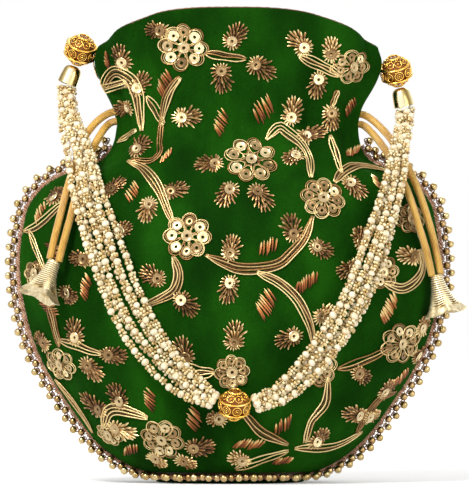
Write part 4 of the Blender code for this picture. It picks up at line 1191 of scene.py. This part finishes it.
def stitch_flower(forms, ground, across, up, size):
    """Sequin flower: a middle sequin, and petals of a sequin in loops of gold wire."""
    sequin, loop, stitch = forms
    spot = (across, up)
    reach = size / 100 * SEAM_RADIUS
    petals = 8 if size > 8.4 else 7
    ring = reach - 0.0034
    small = min(1.0, ring * sin(pi / petals) / 0.0027)
    wires, sequins = [], [set_sequin(sequin, ground, spot, (0, 0), 0.6, 0.0011, 0.95)]
    start = dice.random()
    for k in range(petals):
        turn = 2 * pi * (k + start) / petals + dice.uniform(-0.08, 0.08)
        away = (ring * cos(turn), ring * sin(turn))
        tone = dice.choice((1.0, 0.7, 0.5, 0.45, 0.4, 0.3, 0.2))
        sequins.append(set_sequin(sequin, ground, spot, away, tone, 0.0004, small * 0.9))
        for turns in range(2):
            long = (0.0040 + 0.0007 * turns) * min(small * 1.1, 1.0)
            flat = (Matrix.Rotation(turn + dice.uniform(-0.06, 0.06), 4, "Z")
                    @ Matrix.Translation((ring - 0.0007 + 0.0001 * turns, 0, 0.0004))
                    @ Matrix.Diagonal((long, long * 1.30, 0.0040, 1)))
            wires.append(ground.lay(copy_at(loop, flat, dice.uniform(0.35, 1.0)), *spot))
        if k % 2:
            wires.append(flat_stitch(stitch, ground, spot, (0.0, 0.0), turn + 0.3, ring * 0.7, 0.3))
    return wires, sequins


def stitch_spray(forms, ground, x0, z0, x1, z1):
    """A sequin with a fan of stitches round its far side."""
    sequin, _, stitch = forms
    spot = (x0, z0)
    lean = atan2(z1 - z0, x1 - x0)
    reach = max(hypot(x1 - x0, z1 - z0) / 100 * SEAM_RADIUS, 0.0062)
    tone = dice.choice((0.15, 0.25, 0.3, 0.45, 0.6))
    wires = []
    for count, out, open_by, length, wide in SPRAY_TIERS:
        root = reach * out
        for k in range(count):
            share = k / (count - 1) * 2 - 1
            angle = lean + share * open_by + dice.uniform(-0.07, 0.07)
            aside = 0.0012 * share if out else 0.0
            begin = (root * cos(lean) - aside * sin(lean) + 0.0012 * cos(angle),
                     root * sin(lean) + aside * cos(lean) + 0.0012 * sin(angle))
            long = reach * length * (1 - 0.22 * abs(share)) * dice.uniform(0.88, 1.08)
            wires.append(flat_stitch(stitch, ground, spot, begin, angle, long,
                                     tone + dice.uniform(-0.15, 0.15), wide))
    for k in range(7):
        angle = lean + pi + blend(-1.15, 1.15, k / 6)
        wires.append(flat_stitch(stitch, ground, spot, (0.0, 0.0), angle,
                                 0.0045 * dice.uniform(0.85, 1.12), tone + 0.2, 1.35))
    tone = dice.choice((0.3, 0.45, 0.55, 0.7, 1.0))
    return wires, [set_sequin(sequin, ground, spot, (0, 0), tone, 0.0007, 0.88)]


def stitch_patch(forms, ground, across, up, turn, length, width, pale):
    """Patch of slanted satin stitches with ragged ends."""
    wires = []
    spin = Matrix.Rotation(radians(turn), 2)
    rows = max(4, int(length / STITCH_PITCH))
    for k in range(rows):
        t = (k + 0.5) / rows * 2 - 1
        along = t * length * 0.0005
        half = width * 0.0005 * (1 - 0.35 * abs(t) ** 3)
        slant = 0.0018 + dice.uniform(-0.0004, 0.0004)
        ragged = half * dice.uniform(-0.22, 0.22)
        start = spin @ Vector((along - slant, ragged - half))
        end = spin @ Vector((along + slant, ragged + half))
        way = end - start
        tone = blend(0.15, 0.70, pale) + dice.uniform(-0.22, 0.22)
        wires.append(flat_stitch(forms[2], ground, (across, up), start,
                                 atan2(way.y, way.x), way.length, tone, 1.55))
    return wires


def stitch_vine(ground, width, places):
    """Parallel gold cords couched side by side along a vine, with a lower, near-black cord in most
    gaps as painted shade.
    """
    knots = [Vector((x, z, 0)) for x, z in places]
    longer = 2.6 if width > 1.5 else 0.0
    knots[0] += (knots[0] - knots[1]).normalized() * longer
    knots[-1] += (knots[-1] - knots[-2]).normalized() * longer
    flat = spaced_curve(knots, max(8, 5 * len(places)))
    rails = [ground.spot(p.x, p.y) for p in flat]
    middles = [point for point, _ in rails]
    width *= VINE_STEP
    bright = 4 if width > 0.0041 else 3
    cords = 2 * bright - 1
    tones = dice.choice(((0.60, 0.75, 0.85, 1.0), (0.60, 0.75, 0.9), (0.30, 0.45, 0.60, 0.75)))
    pieces = []
    for c in range(cords):
        under = c % 2
        if under and dice.random() < 0.25:
            continue
        aside = (c / (cords - 1) - 0.5) * width
        wander = dice.uniform(0, 6)
        route = []
        for i, (point, normal) in enumerate(rails):
            share = i / (len(rails) - 1)
            side = direction_at(middles, i).cross(normal).normalized()
            swell = 0.50 + 0.55 * sin(pi * share ** 0.8)
            swell *= 0.50 + 0.50 * smooth(min(share, 1 - share) / 0.10)
            sway = 0.00022 * sin(wander + share * 11)
            out = 0.00030 if under else 0.00056
            route.append(point + side * (aside * swell + sway) + normal * out)
        cord = make_tube("vine_cord", route, SHADE_GAP_CORD_RADIUS if under else VINE_CORD_RADIUS, 6)
        # Gap cords get tone 0.08, near black: painted shade between the gold cords
        give_tone(cord, 0.08 if under else dice.choice(tones))
        pieces.append(cord)
    return pieces


def embroider(tree, back):
    """All stitching of one panel, joined into a few pieces. The back has fewer motifs."""
    ground = Ground(tree, back)
    forms = stitch_forms()

    def gather(name, parts, finish, nodes=()):
        name += "_back" if back else "_front"
        dress(join_pieces(name, parts), finish, "bag", [] if back else nodes)

    def chosen(motifs, reach):
        return [m for m in motifs if not back or abs(m[0]) < reach]

    vines = []
    for width, *places in VINES[:15] if back else VINES:
        vines += stitch_vine(ground, width, places)
    gather("vines", vines, WIRE, ["vine_%02d" % (k + 1) for k in range(12)])
    patches = []
    for motif in chosen(PATCHES[::2] if back else PATCHES, 84):
        patches += stitch_patch(forms, ground, *motif)
    gather("patches", patches, COPPER)
    sequins = []
    for name, stitching, motifs, nodes in (
            ("flower_wires", stitch_flower, chosen(FLOWERS, 86),
             ["flower_%02d" % (k + 1) for k in range(11)]),
            ("sprays", stitch_spray, chosen(SPRAYS[::2] if back else SPRAYS, 84), ())):
        wires = []
        for motif in motifs:
            stitches, discs = stitching(forms, ground, *motif)
            wires += stitches
            sequins += discs
        gather(name, wires, WIRE, nodes)
    gather("sequins", sequins, SEQUIN)
    drop(*forms)


# Balls, caps and pins
def make_ball_form():
    """Filigree ball: a dark inner shell as painted shade inside the hollow ball, then collars,
    rosettes and granules of gold wire.
    """
    pick()
    # Dark inner sphere: painted shade seen through the openwork
    bpy.ops.mesh.primitive_uv_sphere_add(segments=24, ring_count=14, radius=BALL_RADIUS * 0.84)
    parts = [smooth_form("ball_shade_shell", SHADE_SHELL)]
    wire = ring_form("ball_wire", 1.0, 0.13, 14, 6, FILIGREE)
    dot = bead_form("ball_dot", 1, FILIGREE)

    def add_ring(way, out, size, thick=1.0):
        way = Vector(way).normalized()
        place = facing(way, way * out) @ Matrix.Diagonal((size, size, size * thick, 1))
        parts.append(copy_at(wire, place))

    def add_dot(way, out, size):
        way = Vector(way).normalized()
        parts.append(copy_at(dot, facing(way, way * out, 0, size)))

    for pole in (1, -1):
        for height, wide, tall in ((0.0072, 0.0027, 0.0027), (0.0030, 0.0070, 0.0040)):
            parts.append(copy_at(wire, Matrix.Translation((0, 0, pole * height))
                                 @ Matrix.Diagonal((wide, wide, tall, 1))))
        for k in range(8):
            turn = 2 * pi * (k + 0.5) / 8
            up = (cos(turn) * 0.72, sin(turn) * 0.72, pole * 0.78)
            add_ring(up, 0.0071, 0.0017)
            add_dot(up, 0.0072, 0.0006)
        for k in range(16):
            turn = 2 * pi * k / 16
            add_dot((cos(turn) * 0.42, sin(turn) * 0.42, pole), 0.0074, 0.00055)
    for k in range(9):
        turn = 2 * pi * k / 9
        way = (cos(turn), sin(turn), 0)
        add_ring(way, 0.0073, 0.0021)
        add_ring(way, 0.0075, 0.0011)
        add_dot(way, 0.0076, 0.0005)
    ball = join_pieces("ball_form", parts)
    drop(wire, dot)
    return ball


def make_cap_form():
    """Smooth polished brass cap with a rounded top, wide end down."""
    top = CAP_LENGTH / 2
    profile = [(0.0010, top), (0.0024, top - 0.0002), (0.0036, top - 0.0009),
               (0.0043, top - 0.0022), (0.0046, top - 0.0042), (0.0048, -0.0015),
               (0.0050, -top - 0.0004), (0.0045, -top - 0.0004), (0.0041, 0.0),
               (0.0028, top - 0.0022), (0.0010, top - 0.0014)]
    cap = turned_piece("cap_form", profile, 48, ring=True)
    # Four bands of tone round the cap: painted highlight and shade bands of polished metal
    set_tones(cap, [0.55 + 0.45 * cos(4 * atan2(v.co.y, v.co.x) + 0.9)
                    for v in cap.data.vertices])
    return cap


def make_handle_fittings():
    ball, cap = make_ball_form(), make_cap_form()
    axis = (BALLS["right"] - BALLS["left"]).normalized()
    for side, way in (("left", (0.25, -0.45, 0.86)), ("right", (-0.2, -0.4, 0.9)),
                      ("center", (0.05, -0.45, 0.9))):
        piece = copy_at(ball, facing(way, BALLS[side]))
        piece.name = "filigree_ball_%s_wires" % side
        dress(piece, None, "handle", ["filigree_ball_" + side])
    for side, bundle in BUNDLES.items():
        end = Vector(bundle[0])
        way = (BALLS[side] - end).normalized()
        reach = (BALLS[side] - end).length - BALL_RADIUS - 0.0004
        piece = copy_at(cap, facing(way, end + way * (reach - CAP_LENGTH / 2)), None)
        piece.name = "cap_%s_polished" % side
        dress(piece, POLISHED, "handle", ["cap_" + side])
    wrap = ring_form("pin_wrap", 0.0010, 0.00032, 16, 6)
    for side, way in (("left", axis), ("right", -axis)):
        lean = way + Vector((0, 0.12, 0.12))
        wraps = [copy_at(wrap, facing(lean, BALLS[side] + way * (0.0042 + 0.0006 * k)))
                 for k in range(11)]
        core = make_tube("pin_core", [BALLS[side] + way * (0.0038 + 0.0012 * k) for k in range(6)],
                         0.0009, 8)
        node = "handle_pin_" + side
        dress(join_pieces(node + "_thread", [core] + wraps), HEM, "bag", [node])
    drop(ball, cap, wrap)


# Floor and light
def set_studio():
    pick()
    bpy.ops.mesh.primitive_plane_add(size=6.0, location=(0, 0, 0))
    floor = name_piece("studio_floor")
    pale = Finish("pale_floor", 0.9, Base_Color=(0.86, 0.86, 0.86, 1.0))
    far = pale.add("VectorMath")
    far.operation = "LENGTH"
    pale.feed(far.inputs[0], pale.places())
    level = pale.add("MapRange", Value=far.outputs["Value"], From_Min=0.30, From_Max=1.2,
                     To_Min=0.28, To_Max=0.9)
    glow = pale.add("Emission", Strength=level.outputs["Result"])
    total = pale.add("AddShader")
    pale.feed(total.inputs[0], pale.shader.outputs[0])
    pale.feed(total.inputs[1], glow.outputs[0])
    pale.show("Material Output", pale.shader, total)
    floor.data.materials.append(pale.material)

    world = bpy.data.worlds.new("studio")
    bpy.context.scene.world = world
    sky = Wiring(world)
    way = sky.add("SeparateXYZ", Vector=sky.add("TexCoord").outputs["Generated"])
    soft = sky.add("Background", Strength=0.62, Color=sky.colors(
        way.outputs["Z"], (0.0, (0.16, 0.16, 0.16)), (0.75, (1.0, 0.985, 0.96))))
    sky.show("World Output", soft, sky.add("Background", Strength=1.0, Color=(1, 1, 1, 1)))
    for name, place, power, size in (("key_light", (-0.60, -0.9, 1.05), 17.0, 0.35),
                                     ("fill_light", (0.9, -1.0, 0.45), 5.0, 0.6),
                                     ("back_light", (0.3, 1.1, 0.9), 5.0, 0.7)):
        lamp = bpy.data.lights.new(name, "AREA")
        lamp.energy = power
        lamp.size = size
        piece = put(name, lamp)
        piece.location = place
        aim = Vector((0, 0, 0.11)) - Vector(place)
        piece.rotation_euler = aim.to_track_quat("-Z", "Y").to_euler()
    bpy.context.scene.view_settings.view_transform = "Standard"


set_camera()
make_strands()
make_drawstrings()
grounds = make_velvet()
make_lining()
make_edge()
embroider(grounds["front"], False)
embroider(grounds["back"], True)
make_handle_fittings()
set_studio()
